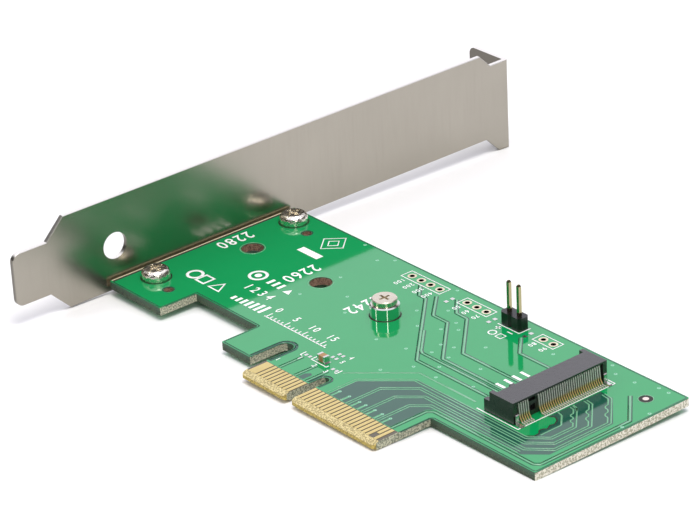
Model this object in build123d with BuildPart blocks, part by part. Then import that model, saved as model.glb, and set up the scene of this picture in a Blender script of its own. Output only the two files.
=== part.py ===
from build123d import *
import os

# Plug-in card with an edge connector, a slot bracket and a seat for one gumstick module.
# All sizes are in millimetres. The origin lies on the component face, at the middle of the
# key notch and level with the nose of the edge contacts. X runs along the card away from the
# bracket, Y from the edge contacts up the card, and Z out of the component face.

# Card outline
card_thickness = 1.57
card_length = 105.3
card_height = 48.0
key_to_far_edge = 48.2
edge_depth = 12.6
foot_height = 4.35
ear_length = 15.4
hook_length = 8.1
hook_slot_width = 3.0
corner_radius = 0.3
nose_radius = 0.6

# Edge contacts
contact_pitch = 1.0
contact_width = 0.7
contact_top = 5.4
contact_plating = 0.05
first_contact = 1.5
short_row_count = 11
long_row_count = 21
row_margin = 1.1
key_width = 1.9
key_depth = 9.2
bevel_run = 1.33
bevel_drop = 0.45
short_contact_step = 1.6

# Module seat: screw holes lie on one line, at the module's length from its stop
module_stop = 31.07
module_line_margin = 16.6
seat_length_fitted = 42.0
seat_lengths_open = (60.0, 80.0)
seat_hole_diameter = 4.3
seat_height = 2.45

# Standoff, and the screws above and below the card
standoff_diameter = 5.5
standoff_chamfer = 0.2
spigot_clearance = 0.1
spigot_step = 0.15
thread_diameter = 2.0
module_screw_head = 4.65
module_screw_height = 1.05
module_screw_reach = 2.2
foot_screw_head = 5.6
foot_screw_height = 0.9
foot_screw_reach = 1.0
thread_clearance = 0.04
module_screw_edge = 0.14
module_screw_point = 0.2
foot_screw_edge = 0.3
driver_taper = 14
module_cross = (2.3, 0.5)
module_cross_depth = 0.6
foot_cross = (2.6, 0.55)
foot_cross_depth = 0.55

# Slot bracket
sheet = 0.86
bracket_length = 120.02
bracket_width = 18.42
bracket_top = 104.4
bracket_gap = 0.5
bend_radius = 0.4
flange_bend = 0.6
ear_drop = 3.32
ear_rise = 2.78
flange_length = 10.6
flange_width = 19.05
flange_corner = 1.5
screw_notch_width = 4.42
screw_notch_depth = 5.3
screw_notch_offset = 6.0
tongue_width = 10.5
tongue_length = 7.5
tongue_corner = 1.6
light_hole_diameter = 5.2
light_hole_height = 6.6
light_hole_rise = 8.75
lug_width = 7.6
lug_reach = 12.3
lug_corner = 1.5
lug_relief_width = 0.9
lug_relief_depth = 1.6
sheet_edge_round = 0.12

# Bracket screws and the small open holes beside them
bracket_screw_setback = 4.9
bracket_screw_foot_rise = 7.04
bracket_screw_margin = 4.0
bracket_screw_thread = 2.9
bracket_screw_hole = 3.2
bracket_screw_head = 5.4
bracket_screw_height = 2.0
bracket_screw_reach = 3.0
bracket_screw_point = 0.3
bracket_screw_rim = 0.12
bracket_screw_side = 0.95
bracket_screw_shoulder = (2.36, 1.7)
bracket_screw_flat = 3.2
bracket_cross = (3.1, 0.85)
bracket_cross_depth = 1.25
pilot_hole_diameter = 1.9
pilot_hole_offset = (5.6, -1.4)

# Plated holes and the pin header share one grid line
grid_pitch = 2.54
grid_line_margin = 3.17
hole_group_starts = (-19.02, -4.02, 15.84)
hole_group_counts = (4, 3, 2)
drill_diameter = 1.0
barrel_wall = 0.06
ring_diameter = 1.75
ring_thickness = 0.04
header_start = 7.22
header_count = 2
header_depth = 2.5
header_height = 2.5
header_notch = 0.45
header_pin_width = 0.64
header_pin_top = 8.6
header_pin_tail = 1.2
header_pin_point = 0.35
header_pin_flank = 0.18
header_pin_foot = 0.12
header_pin_clearance = 0.02
solder_foot = 0.85
solder_neck = 0.5
solder_waist = 0.58
solder_height = 0.8
solder_clearance = 0.01

# Module socket
socket_length = 21.6
socket_mouth = 27.2
socket_post_front = 28.6
socket_roof_front = 29.6
socket_key_front = 28.9
socket_back = 34.4
socket_rear_recess = 0.5
socket_rear_lip = 0.35
socket_height = 4.1
socket_lower_jaw = 2.15
socket_lip = 0.2
socket_key_drop = 0.2
socket_end_wall = 0.9
socket_throat_back = 31.2
socket_throat_height = 1.05
socket_lead_in = 0.5
socket_front_wall = 0.2
socket_slot_margin = 0.1
socket_slot_height = 0.6
socket_pocket_levels = (3.3, 1.45)
socket_pocket_width = 1.6
socket_pocket_height = 1.15
socket_pocket_depth = 0.7
socket_contact_pitch = 0.5
socket_contact_width = 0.22
socket_slot_width = 0.3
socket_strip = 0.15
socket_bend = 0.12
socket_tail_gap = 0.17
socket_tail_lean = 0.3
upper_spring_run = (0.3, 0.7, 1.6)
upper_spring_dip = (0.08, 0.32)
upper_spring_rise = 0.32
lower_spring_run = (0.45, 0.95)
lower_spring_drop = 0.25
lower_spring_lift = 0.05
lower_heel_drop = 1.0
lower_heel_inset = 0.35
lower_foot_overhang = 0.85
lower_foot_run = (0.7, 1.1)
lower_foot_rise = 0.25
land_overhang = 0.2
socket_foot_length = 0.75
socket_ramp = (0.55, 1.0)
socket_key_offset = 6.125
socket_key_width = 1.0
upper_long_count = 29
upper_short_count = 5
lower_long_count = 29
lower_short_count = 4
key_lost_count = 4
peg_diameters = (1.6, 1.1)
peg_reach = 1.1
peg_clearance = 0.05
peg_spread = 9.0
peg_setback = 3.0
hold_down_thickness = 0.2
hold_down_width = 0.7
hold_down_height = 1.7
hold_down_stand_off = 0.25
hold_down_foot = 1.3
hold_down_inset = 0.65

# Lands and chip parts
land_thickness = 0.05
capacitor_place = (-5.3, 12.5)
capacitor_length = 2.0
capacitor_width = 1.25
capacitor_height = 1.25
capacitor_cap = 0.45
capacitor_wrap = 0.03
capacitor_edge = 0.1
capacitor_land = (0.85, 1.3)
capacitor_land_offset = 0.9
spare_places = ((-8.72, 11.87), (-4.8, 14.6), (-4.7, 16.05), (-1.38, 11.8))
spare_land_size = (0.6, 0.75)
spare_land_pitch = 1.0
spare_land_corner = 0.12
upright_places = ((-7.0, 1.63), (4.2, 1.53), (12.7, 0.73))
upright_land_size = (0.8, 0.75)
upright_land_pitch = 1.5
land_margin = 0.06
hold_down_land_margin = 0.15
fiducial_margins = (4.8, 5.5)
fiducial_diameter = 1.1

os.makedirs("parts", exist_ok=True)

# Places that follow from the sizes above
far_edge = key_to_far_edge
back_edge = far_edge - card_length
module_line = card_height - module_line_margin
grid_line = card_height - grid_line_margin
bracket_screw_rows = (foot_height + bracket_screw_foot_rise, card_height - bracket_screw_margin)
short_row_end = -(first_contact + (short_row_count - 1) * contact_pitch + row_margin)
long_row_end = first_contact + (long_row_count - 1) * contact_pitch + row_margin
hook_near = short_row_end - hook_slot_width
hook_far = hook_near - hook_length
ear_end = back_edge + ear_length
card_underside = -card_thickness
plate_inner = back_edge - bracket_gap
plate_outer = plate_inner - sheet
bracket_low = card_underside - sheet
bracket_high = bracket_low + bracket_width
bracket_middle = (bracket_low + bracket_high) / 2
tongue_end = bracket_top - bracket_length
flange_low = bracket_low - ear_drop
flange_high = flange_low + flange_width
screw_column = back_edge + bracket_screw_setback
pilot_places = [
    (screw_column + pilot_hole_offset[0], row + pilot_hole_offset[1]) for row in bracket_screw_rows
]
standoff_place = (module_stop - seat_length_fitted, module_line)
socket_low_end = module_line - socket_length / 2
socket_high_end = module_line + socket_length / 2
spigot_diameter = seat_hole_diameter - 2 * spigot_clearance
header_places = [(header_start + i * grid_pitch, grid_line) for i in range(header_count)]
open_plated_holes = [
    (start + i * grid_pitch, grid_line)
    for start, count in zip(hole_group_starts, hole_group_counts)
    for i in range(count)
]
peg_column = socket_mouth + peg_setback
half_contact = contact_width / 2
peg_places = [(peg_column, module_line - peg_spread), (peg_column, module_line + peg_spread)]


def key_row(count_long, count_short):
    """Row of module contacts on either side of the key, as places along the card's height."""
    gap = (key_lost_count + 1) * socket_contact_pitch
    first = module_line + (count_long + count_short - 2) * socket_contact_pitch / 2 + gap / 2
    long_row = [first - i * socket_contact_pitch for i in range(count_long)]
    short_row = [long_row[-1] - gap - i * socket_contact_pitch for i in range(count_short)]
    return long_row + short_row


upper_row = key_row(upper_long_count, upper_short_count)
lower_row = key_row(lower_long_count, lower_short_count)

# Card: glass-epoxy laminate with the foot, hook and edge contacts milled in one outline
with BuildPart() as card:
    slot_arc = hook_slot_width / 2
    key_arc = key_width / 2
    with BuildSketch() as card_outline:
        with BuildLine():
            Polyline(
                (hook_near, edge_depth - slot_arc),
                (hook_near, foot_height),
                (hook_far, foot_height),
                (hook_far, edge_depth),
                (ear_end, edge_depth),
                (ear_end, foot_height),
                (back_edge, foot_height),
                (back_edge, card_height),
                (far_edge, card_height),
                (far_edge, edge_depth),
                (long_row_end, edge_depth),
                (long_row_end, 0),
                (key_arc, 0),
                (key_arc, key_depth - key_arc),
            )
            ThreePointArc(
                (key_arc, key_depth - key_arc), (0, key_depth), (-key_arc, key_depth - key_arc)
            )
            Polyline(
                (-key_arc, key_depth - key_arc),
                (-key_arc, 0),
                (short_row_end, 0),
                (short_row_end, edge_depth - slot_arc),
            )
            ThreePointArc(
                (short_row_end, edge_depth - slot_arc),
                (short_row_end - slot_arc, edge_depth),
                (hook_near, edge_depth - slot_arc),
            )
        make_face()
        arc_levels = (edge_depth - slot_arc, key_depth - key_arc)
        body_corners = [
            v
            for v in card_outline.vertices()
            if v.Y > nose_radius and all(abs(v.Y - level) > 0.01 for level in arc_levels)
        ]
        fillet(body_corners, radius=corner_radius)
        fillet([v for v in card_outline.vertices() if v.Y < nose_radius / 2], radius=nose_radius)
    extrude(amount=-card_thickness)
    for face_level, drop in ((0, -bevel_drop), (card_underside, bevel_drop)):
        with BuildSketch(Plane.YZ) as bevel:
            with BuildLine():
                Polyline(
                    (0, face_level),
                    (bevel_run, face_level),
                    (0, face_level + drop),
                    close=True,
                )
            make_face()
        extrude(amount=card_length, both=True, mode=Mode.SUBTRACT)
    with BuildSketch():
        with Locations(*[(module_stop - length, module_line) for length in seat_lengths_open]):
            Circle(seat_hole_diameter / 2)
        with Locations(standoff_place):
            Circle(seat_hole_diameter / 2)
        with Locations(*[(screw_column, row) for row in bracket_screw_rows]):
            Circle(bracket_screw_hole / 2)
        with Locations(*pilot_places):
            Circle(pilot_hole_diameter / 2)
        with Locations(*(open_plated_holes + header_places)):
            Circle(drill_diameter / 2 + barrel_wall)
        for place, diameter in zip(peg_places, peg_diameters):
            with Locations(place):
                Circle(diameter / 2 + peg_clearance)
    extrude(amount=-card_thickness, mode=Mode.SUBTRACT)
card.part.label = "card"
export_step(card.part, "parts/card.step")


# Edge contacts: gold on copper, the outer two of the component side joined for the supply
def contact_places():
    """Centres of the edge contacts along the card, from the bracket's side outwards."""
    short_row = [-(first_contact + i * contact_pitch) for i in range(short_row_count)]
    long_row = [first_contact + i * contact_pitch for i in range(long_row_count)]
    return sorted(short_row) + long_row


def contact_strip(left, right, nose):
    """One flat contact from its nose up to the common top line."""
    with Locations(((left + right) / 2, (nose + contact_top) / 2)):
        Rectangle(right - left, contact_top - nose)


with BuildPart() as component_side_contacts:
    places = contact_places()
    with BuildSketch():
        contact_strip(places[0] - row_margin / 2, places[1] + half_contact, bevel_run)
        for place in places[2:]:
            nose = bevel_run + short_contact_step * (place == places[-2])
            contact_strip(place - half_contact, place + half_contact, nose)
    extrude(amount=contact_plating)
component_side_contacts.part.label = "component_side_contacts"
export_step(component_side_contacts.part, "parts/component_side_contacts.step")

with BuildPart() as solder_side_contacts:
    with BuildSketch(Plane.XY.offset(card_underside)):
        for place in contact_places():
            nose = bevel_run + short_contact_step * (place == places[0])
            contact_strip(place - half_contact, place + half_contact, nose)
    extrude(amount=-contact_plating)
solder_side_contacts.part.label = "solder_side_contacts"
export_step(solder_side_contacts.part, "parts/solder_side_contacts.step")


def corners_at(sketch, x, y):
    """Corners of a sketch that lie at one place of its plane."""
    return [v for v in sketch.vertices() if abs(v.X - x) < 0.01 and abs(v.Y - y) < 0.01]


# Slot bracket: one folded sheet, with its flange turned away and two lugs under the card
with BuildPart() as bracket:
    shoulder = (bracket_width - tongue_width) / 2
    bend_outer = bend_radius + sheet
    flange_inner = flange_bend / 2
    ear_start = bracket_top - ear_rise - ear_drop
    notch_drop = bracket_high - flange_high
    plate_end = bracket_top - sheet - flange_bend
    with BuildSketch(Plane.YZ.offset(plate_inner)) as plate_outline:
        with BuildLine():
            Polyline(
                (tongue_end, bracket_middle - tongue_width / 2),
                (tongue_end + tongue_length, bracket_middle - tongue_width / 2),
                (tongue_end + tongue_length + shoulder, bracket_low),
                (ear_start, bracket_low),
                (bracket_top - ear_rise, flange_low),
                (plate_end, flange_low),
                (plate_end, flange_high),
                (ear_start + notch_drop / 2, flange_high),
                (ear_start - notch_drop / 2, bracket_high),
                (tongue_end + tongue_length + shoulder, bracket_high),
                (tongue_end + tongue_length, bracket_middle + tongue_width / 2),
                (tongue_end, bracket_middle + tongue_width / 2),
                close=True,
            )
        make_face()
        tongue_tips = [v for v in plate_outline.vertices() if v.X < tongue_end + 0.01]
        fillet(tongue_tips, radius=tongue_corner)
        with Locations((light_hole_height, bracket_low + light_hole_rise)):
            Circle(light_hole_diameter / 2, mode=Mode.SUBTRACT)
        for row in bracket_screw_rows:
            with Locations((row, bracket_low + lug_relief_depth / 2)):
                Rectangle(
                    lug_width + 2 * lug_relief_width, lug_relief_depth, mode=Mode.SUBTRACT
                )
    extrude(amount=-sheet)
    rim = [
        e
        for e in bracket.edges().filter_by(GeomType.LINE)
        if abs(e.center().X - plate_inner) < 0.01 and e.center().Y < plate_end - 0.01
    ]
    chamfer(rim, length=sheet_edge_round)
    with BuildSketch(Plane.XY.offset(flange_low)) as fold:
        with BuildLine():
            Polyline(
                (plate_inner, plate_end),
                (plate_inner, bracket_top),
                (plate_inner - flange_length, bracket_top),
                (plate_inner - flange_length, bracket_top - sheet),
                (plate_outer, bracket_top - sheet),
                (plate_outer, plate_end),
                close=True,
            )
        make_face()
        fillet(corners_at(fold, plate_inner, bracket_top), radius=flange_bend)
        fillet(corners_at(fold, plate_outer, bracket_top - sheet), radius=flange_inner)
    extrude(amount=flange_width)
    flange_tips = bracket.edges().filter_by(Axis.Y).filter_by(
        lambda e: e.center().X < plate_inner - flange_length + 0.01
    )
    fillet(flange_tips, radius=flange_corner)
    with BuildSketch(Plane.XZ.offset(-bracket_top)):
        notch_arc = screw_notch_width / 2
        notch_centre = plate_outer - screw_notch_offset + sheet
        with Locations((notch_centre, flange_low + (screw_notch_depth - notch_arc) / 2)):
            Rectangle(screw_notch_width, screw_notch_depth - notch_arc)
        with Locations((notch_centre, flange_low + screw_notch_depth - notch_arc)):
            Circle(notch_arc)
    extrude(amount=sheet, mode=Mode.SUBTRACT)
    for row in bracket_screw_rows:
        with BuildSketch(Plane.XZ.offset(-(row + lug_width / 2))) as lug:
            with BuildLine():
                Polyline(
                    (plate_outer, bracket_low + lug_relief_depth),
                    (plate_outer, bracket_low),
                    (plate_inner + lug_reach, bracket_low),
                    (plate_inner + lug_reach, card_underside),
                    (plate_inner, card_underside),
                    (plate_inner, bracket_low + lug_relief_depth),
                    close=True,
                )
            make_face()
            fillet(corners_at(lug, plate_outer, bracket_low), radius=bend_outer)
            fillet(corners_at(lug, plate_inner, card_underside), radius=bend_radius)
        extrude(amount=lug_width)
    lug_tips = bracket.edges().filter_by(Axis.Z).filter_by(
        lambda e: e.center().X > plate_inner + lug_reach - 0.01
    )
    fillet(lug_tips, radius=lug_corner)
    with BuildSketch(Plane.XY.offset(card_underside)):
        with Locations(*[(screw_column, row) for row in bracket_screw_rows]):
            Circle(bracket_screw_thread / 2 + thread_clearance)
    extrude(amount=-sheet, mode=Mode.SUBTRACT)
bracket.part.label = "slot_bracket"
export_step(bracket.part, "parts/slot_bracket.step")


def driver_cross(level, arms):
    """Cross-shaped mouth of a driver recess, at the level of the head's top."""
    with BuildSketch(Plane.XY.offset(level)) as cross:
        Rectangle(*arms)
        Rectangle(*reversed(arms))
    return cross.sketch


# Bracket screws: domed pan heads, through the card into the lugs
with BuildPart() as one_bracket_screw:
    with BuildSketch(Plane.XZ):
        head_radius = bracket_screw_head / 2
        thread_radius = bracket_screw_thread / 2
        flat_radius = bracket_screw_flat / 2
        with BuildLine():
            Polyline(
                (flat_radius, bracket_screw_height),
                (0, bracket_screw_height),
                (0, -bracket_screw_reach),
                (thread_radius - bracket_screw_point, -bracket_screw_reach),
                (thread_radius, bracket_screw_point - bracket_screw_reach),
                (thread_radius, 0),
                (head_radius - bracket_screw_rim, 0),
                (head_radius, bracket_screw_rim),
                (head_radius, bracket_screw_side),
            )
            ThreePointArc(
                (head_radius, bracket_screw_side),
                bracket_screw_shoulder,
                (flat_radius, bracket_screw_height),
            )
        make_face()
    revolve(axis=Axis.Z)
    recess = driver_cross(bracket_screw_height, bracket_cross)
    extrude(recess, amount=-bracket_cross_depth, taper=driver_taper, mode=Mode.SUBTRACT)

with BuildPart() as bracket_screws:
    with Locations(*[(screw_column, row, 0) for row in bracket_screw_rows]):
        add(one_bracket_screw.part)
bracket_screws.part.label = "bracket_screws"
export_step(bracket_screws.part, "parts/bracket_screws.step")

# Standoff: turned sleeve with a spigot in the card, tapped from end to end
spigot_end = card_underside + spigot_step
with BuildPart() as standoff:
    with BuildSketch(Plane.XZ) as standoff_profile:
        bore = thread_diameter / 2 + thread_clearance
        with BuildLine():
            Polyline(
                (bore, spigot_end),
                (spigot_diameter / 2, spigot_end),
                (spigot_diameter / 2, 0),
                (standoff_diameter / 2, 0),
                (standoff_diameter / 2, seat_height - standoff_chamfer),
                (standoff_diameter / 2 - standoff_chamfer, seat_height),
                (bore, seat_height),
                close=True,
            )
        make_face()
    revolve(axis=Axis.Z)
standoff.part.locate(Location((*standoff_place, 0)))
standoff.part.label = "standoff"
export_step(standoff.part, "parts/standoff.step")

# Module screw: flat wafer head on the standoff, ready for a module
with BuildPart() as module_screw:
    with BuildSketch(Plane.XY.offset(seat_height)):
        Circle(module_screw_head / 2)
    extrude(amount=module_screw_height)
    head_rims = module_screw.edges().filter_by(GeomType.CIRCLE)
    chamfer(head_rims.sort_by(Axis.Z)[-1:], length=module_screw_edge)
    with BuildSketch(Plane.XY.offset(seat_height)):
        Circle(thread_diameter / 2)
    extrude(amount=-module_screw_reach)
    thread_end = module_screw.edges().filter_by(GeomType.CIRCLE).sort_by(Axis.Z)[:1]
    chamfer(thread_end, length=module_screw_point)
    recess = driver_cross(seat_height + module_screw_height, module_cross)
    extrude(recess, amount=-module_cross_depth, taper=driver_taper, mode=Mode.SUBTRACT)
module_screw.part.locate(Location((*standoff_place, 0)))
module_screw.part.label = "module_screw"
export_step(module_screw.part, "parts/module_screw.step")

# Foot screw: clamps the standoff from the solder side
with BuildPart() as foot_screw:
    with BuildSketch(Plane.XY.offset(card_underside)):
        Circle(foot_screw_head / 2)
    extrude(amount=-foot_screw_height)
    head_rims = foot_screw.edges().filter_by(GeomType.CIRCLE)
    chamfer(head_rims.sort_by(Axis.Z)[:1], length=foot_screw_edge)
    with BuildSketch(Plane.XY.offset(card_underside)):
        Circle(thread_diameter / 2)
    extrude(amount=foot_screw_reach)
    recess = driver_cross(card_underside - foot_screw_height, foot_cross)
    extrude(recess, amount=foot_cross_depth, taper=driver_taper, mode=Mode.SUBTRACT)
foot_screw.part.locate(Location((*standoff_place, 0)))
foot_screw.part.label = "foot_screw"
export_step(foot_screw.part, "parts/foot_screw.step")

# Plated holes: copper barrels with a ring on each face
with BuildPart() as one_barrel:
    with BuildSketch(Plane.XZ):
        drill = drill_diameter / 2
        wall = drill + barrel_wall
        ring = ring_diameter / 2
        with BuildLine():
            Polyline(
                (drill, card_underside - ring_thickness),
                (ring, card_underside - ring_thickness),
                (ring, card_underside),
                (wall, card_underside),
                (wall, 0),
                (ring, 0),
                (ring, ring_thickness),
                (drill, ring_thickness),
                close=True,
            )
        make_face()
    revolve(axis=Axis.Z)

with BuildPart() as plated_holes:
    with Locations(*[(x, y, 0) for x, y in open_plated_holes]):
        add(one_barrel.part)
plated_holes.part.label = "plated_holes"
export_step(plated_holes.part, "parts/plated_holes.step")

with BuildPart() as header_barrels:
    with Locations(*[(x, y, 0) for x, y in header_places]):
        add(one_barrel.part)
header_barrels.part.label = "header_barrels"
export_step(header_barrels.part, "parts/header_barrels.step")

# Pin header: moulded block, square pins and the solder that holds them below
header_middle = header_start + (header_count - 1) * grid_pitch / 2
with BuildPart() as header_block:
    block_low = ring_thickness
    with BuildSketch(Plane.XY.offset(block_low)) as block_outline:
        with Locations(*header_places):
            Rectangle(grid_pitch, header_depth)
        seams = [
            (header_start + (i + 0.5) * grid_pitch, grid_line + side * header_depth / 2)
            for i in range(header_count - 1)
            for side in (-1, 1)
        ]
        with Locations(*seams):
            RegularPolygon(header_notch, 4, mode=Mode.SUBTRACT)
        block_ends = block_outline.vertices().group_by(Axis.X)
        chamfer(block_ends[0] + block_ends[-1], length=header_notch)
    extrude(amount=header_height)
    with BuildSketch(Plane.XY.offset(block_low)):
        with Locations(*header_places):
            pin_hole = header_pin_width + 2 * header_pin_clearance
            Rectangle(pin_hole, pin_hole)
    extrude(amount=header_height, mode=Mode.SUBTRACT)
header_block.part.label = "header_block"
export_step(header_block.part, "parts/header_block.step")

with BuildPart() as one_header_pin:
    with BuildSketch(Plane.XY.offset(card_underside - header_pin_tail)):
        Rectangle(header_pin_width, header_pin_width)
    extrude(amount=header_pin_top - card_underside + header_pin_tail)
    pin_tip = one_header_pin.faces().sort_by(Axis.Z)[-1]
    chamfer(pin_tip.edges(), length=header_pin_point, length2=header_pin_flank)
    pin_tail = one_header_pin.faces().sort_by(Axis.Z)[0]
    chamfer(pin_tail.edges(), length=header_pin_foot)

with BuildPart() as header_pins_pair:
    with Locations(*[(x, y, 0) for x, y in header_places]):
        add(one_header_pin.part)
header_pins_pair.part.label = "header_pins"
export_step(header_pins_pair.part, "parts/header_pins.step")

with BuildPart() as one_solder_cone:
    cone_top = card_underside - ring_thickness
    cone_end = cone_top - solder_height
    with BuildSketch(Plane.XZ):
        with BuildLine():
            ThreePointArc(
                (solder_foot, cone_top),
                (solder_waist, (cone_top + cone_end) / 2),
                (solder_neck, cone_end),
            )
            Polyline((solder_neck, cone_end), (0, cone_end), (0, cone_top), (solder_foot, cone_top))
        make_face()
    revolve(axis=Axis.Z)
    with BuildSketch(Plane.XY.offset(cone_top)):
        cone_bore = header_pin_width + 2 * solder_clearance
        Rectangle(cone_bore, cone_bore)
    extrude(amount=-solder_height, mode=Mode.SUBTRACT)

with BuildPart() as header_solder:
    with Locations(*[(x, y, 0) for x, y in header_places]):
        add(one_solder_cone.part)
header_solder.part.label = "header_solder"
export_step(header_solder.part, "parts/header_solder.step")

# Module socket: one moulding with a lower and an upper jaw, end posts, a key and two pegs
rear_face = socket_back - socket_rear_recess
throat_top = socket_lower_jaw + socket_throat_height
key_place = module_line - socket_key_offset
inner_length = socket_length - 2 * socket_end_wall
inner_high_end = socket_high_end - socket_end_wall
inner_low_end = socket_low_end + socket_end_wall
with BuildPart() as socket_housing:
    with BuildSketch(Plane.XZ.offset(-socket_high_end)):
        with BuildLine():
            Polyline(
                (socket_mouth, 0),
                (socket_back, 0),
                (socket_back, socket_height),
                (socket_post_front, socket_height),
                (socket_post_front, socket_lower_jaw + socket_lip),
                (socket_mouth, socket_lower_jaw + socket_lip),
                close=True,
            )
        make_face()
    extrude(amount=socket_length)
    with BuildSketch(Plane.XZ.offset(-inner_high_end)):
        with BuildLine():
            Polyline(
                (socket_mouth, socket_lower_jaw),
                (socket_throat_back, socket_lower_jaw),
                (socket_throat_back, throat_top),
                (socket_roof_front + socket_lead_in, throat_top),
                (socket_roof_front, throat_top + socket_lead_in),
                (socket_roof_front, socket_height),
                (socket_mouth, socket_height),
                close=True,
            )
        make_face()
    extrude(amount=inner_length, mode=Mode.SUBTRACT)
    with BuildSketch(Plane.XZ.offset(-inner_high_end)):
        with Locations((socket_back, 0)):
            Rectangle(
                socket_rear_recess, socket_height - socket_rear_lip, align=(Align.MAX, Align.MIN)
            )
    extrude(amount=inner_length, mode=Mode.SUBTRACT)
    with BuildSketch(Plane.XZ.offset(-(key_place + socket_key_width / 2))):
        with Locations((socket_key_front, socket_lower_jaw)):
            Rectangle(
                socket_throat_back - socket_key_front,
                socket_height - socket_key_drop - socket_lower_jaw,
                align=(Align.MIN, Align.MIN),
            )
    extrude(amount=socket_key_width)
    with BuildSketch(Plane.YZ.offset(socket_roof_front + socket_front_wall)):
        with Locations(*[(y, throat_top - socket_slot_margin) for y in upper_row]):
            Rectangle(socket_slot_width, socket_slot_height, align=(Align.CENTER, Align.MIN))
    extrude(amount=rear_face - socket_roof_front - socket_front_wall, mode=Mode.SUBTRACT)
    with BuildSketch(Plane.YZ.offset(socket_mouth)):
        with Locations(*[(y, 0) for y in lower_row]):
            Rectangle(
                socket_slot_width,
                socket_lower_jaw + socket_slot_margin,
                align=(Align.CENTER, Align.MIN),
            )
    extrude(amount=socket_throat_back - socket_mouth - socket_slot_margin, mode=Mode.SUBTRACT)
    with BuildSketch(Plane.YZ.offset(rear_face)):
        with Locations(*[(key_place, level) for level in socket_pocket_levels]):
            Rectangle(socket_pocket_width, socket_pocket_height)
    extrude(amount=-socket_pocket_depth, mode=Mode.SUBTRACT)
    with BuildSketch():
        for place, diameter in zip(peg_places, peg_diameters):
            with Locations(place):
                Circle(diameter / 2)
    extrude(amount=-peg_reach)
socket_housing.part.label = "socket_housing"
export_step(socket_housing.part, "parts/socket_housing.step")

# Upper contacts: springs above the throat whose tails come down behind the housing
foot_level = land_thickness + socket_strip / 2
spring_level = throat_top + upper_spring_rise
spring_tip, spring_low, spring_heel = (socket_roof_front + run for run in upper_spring_run)
tail_line = rear_face + socket_tail_gap
ramp_run, ramp_top = socket_ramp
ramp_start = tail_line + socket_tail_lean
foot_start = ramp_start + ramp_run
with BuildPart() as one_upper_contact:
    with BuildSketch(Plane.XZ.offset(socket_contact_width / -2)):
        with BuildLine():
            FilletPolyline(
                (spring_tip, spring_level - upper_spring_dip[0]),
                (spring_low, spring_level - upper_spring_dip[1]),
                (spring_heel, spring_level),
                (tail_line, spring_level),
                (ramp_start, ramp_top),
                (foot_start, foot_level),
                (foot_start + socket_foot_length, foot_level),
                radius=socket_bend,
            )
        trace(line_width=socket_strip)
    extrude(amount=socket_contact_width)

with BuildPart() as socket_upper_contacts:
    with Locations(*[(0, y, 0) for y in upper_row]):
        add(one_upper_contact.part)
socket_upper_contacts.part.label = "socket_upper_contacts"
export_step(socket_upper_contacts.part, "parts/socket_upper_contacts.step")

# Lower contacts: springs bent back on themselves, with their tails under the mouth
lower_tail = socket_mouth - lower_foot_overhang
lower_level = foot_level + lower_foot_rise
lower_bend = socket_throat_back - lower_heel_inset
lower_tip, lower_crest = (socket_post_front + run for run in lower_spring_run)
with BuildPart() as one_lower_contact:
    with BuildSketch(Plane.XZ.offset(socket_contact_width / -2)):
        with BuildLine():
            FilletPolyline(
                (lower_tail, foot_level),
                (lower_tail + lower_foot_run[0], foot_level),
                (lower_tail + lower_foot_run[1], lower_level),
                (lower_bend, lower_level),
                (lower_bend, socket_lower_jaw - lower_heel_drop),
                (lower_crest, socket_lower_jaw + lower_spring_lift),
                (lower_tip, socket_lower_jaw - lower_spring_drop),
                radius=socket_bend,
            )
        trace(line_width=socket_strip)
    extrude(amount=socket_contact_width)

with BuildPart() as socket_lower_contacts:
    with Locations(*[(0, y, 0) for y in lower_row]):
        add(one_lower_contact.part)
socket_lower_contacts.part.label = "socket_lower_contacts"
export_step(socket_lower_contacts.part, "parts/socket_lower_contacts.step")

# Hold-downs: stamped angles behind the end posts, soldered to the card
hold_down_line = socket_back + hold_down_stand_off
hold_down_end = hold_down_line + hold_down_foot
hold_down_level = land_thickness + hold_down_thickness / 2
hold_down_rows = (socket_low_end + hold_down_inset, socket_high_end - hold_down_inset)
with BuildPart() as one_hold_down:
    with BuildSketch(Plane.XZ.offset(hold_down_width / -2)):
        with BuildLine():
            FilletPolyline(
                (socket_back, hold_down_height),
                (hold_down_line, hold_down_height),
                (hold_down_line, hold_down_level),
                (hold_down_end, hold_down_level),
                radius=socket_bend,
            )
        trace(line_width=hold_down_thickness)
    extrude(amount=hold_down_width)

with BuildPart() as socket_hold_downs:
    with Locations(*[(0, row, 0) for row in hold_down_rows]):
        add(one_hold_down.part)
socket_hold_downs.part.label = "socket_hold_downs"
export_step(socket_hold_downs.part, "parts/socket_hold_downs.step")

# Lands of the socket: tinned copper under every tail and hold-down
rear_land = (foot_start - land_overhang, foot_start + socket_foot_length + land_overhang)
front_land = (lower_tail - land_overhang, socket_mouth)
hold_down_land = (hold_down_line - hold_down_stand_off / 2, hold_down_end + land_overhang)


def land_row(span, rows, width):
    """Rectangular lands of one span along X, one in each row."""
    with Locations(*[(sum(span) / 2, row) for row in rows]):
        Rectangle(span[1] - span[0], width)


with BuildPart() as socket_lands:
    with BuildSketch():
        land_row(rear_land, upper_row, socket_contact_width + land_margin)
        land_row(front_land, lower_row, socket_contact_width + land_margin)
        land_row(hold_down_land, hold_down_rows, hold_down_width + 2 * hold_down_land_margin)
    extrude(amount=land_thickness)
socket_lands.part.label = "socket_lands"
export_step(socket_lands.part, "parts/socket_lands.step")

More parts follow.
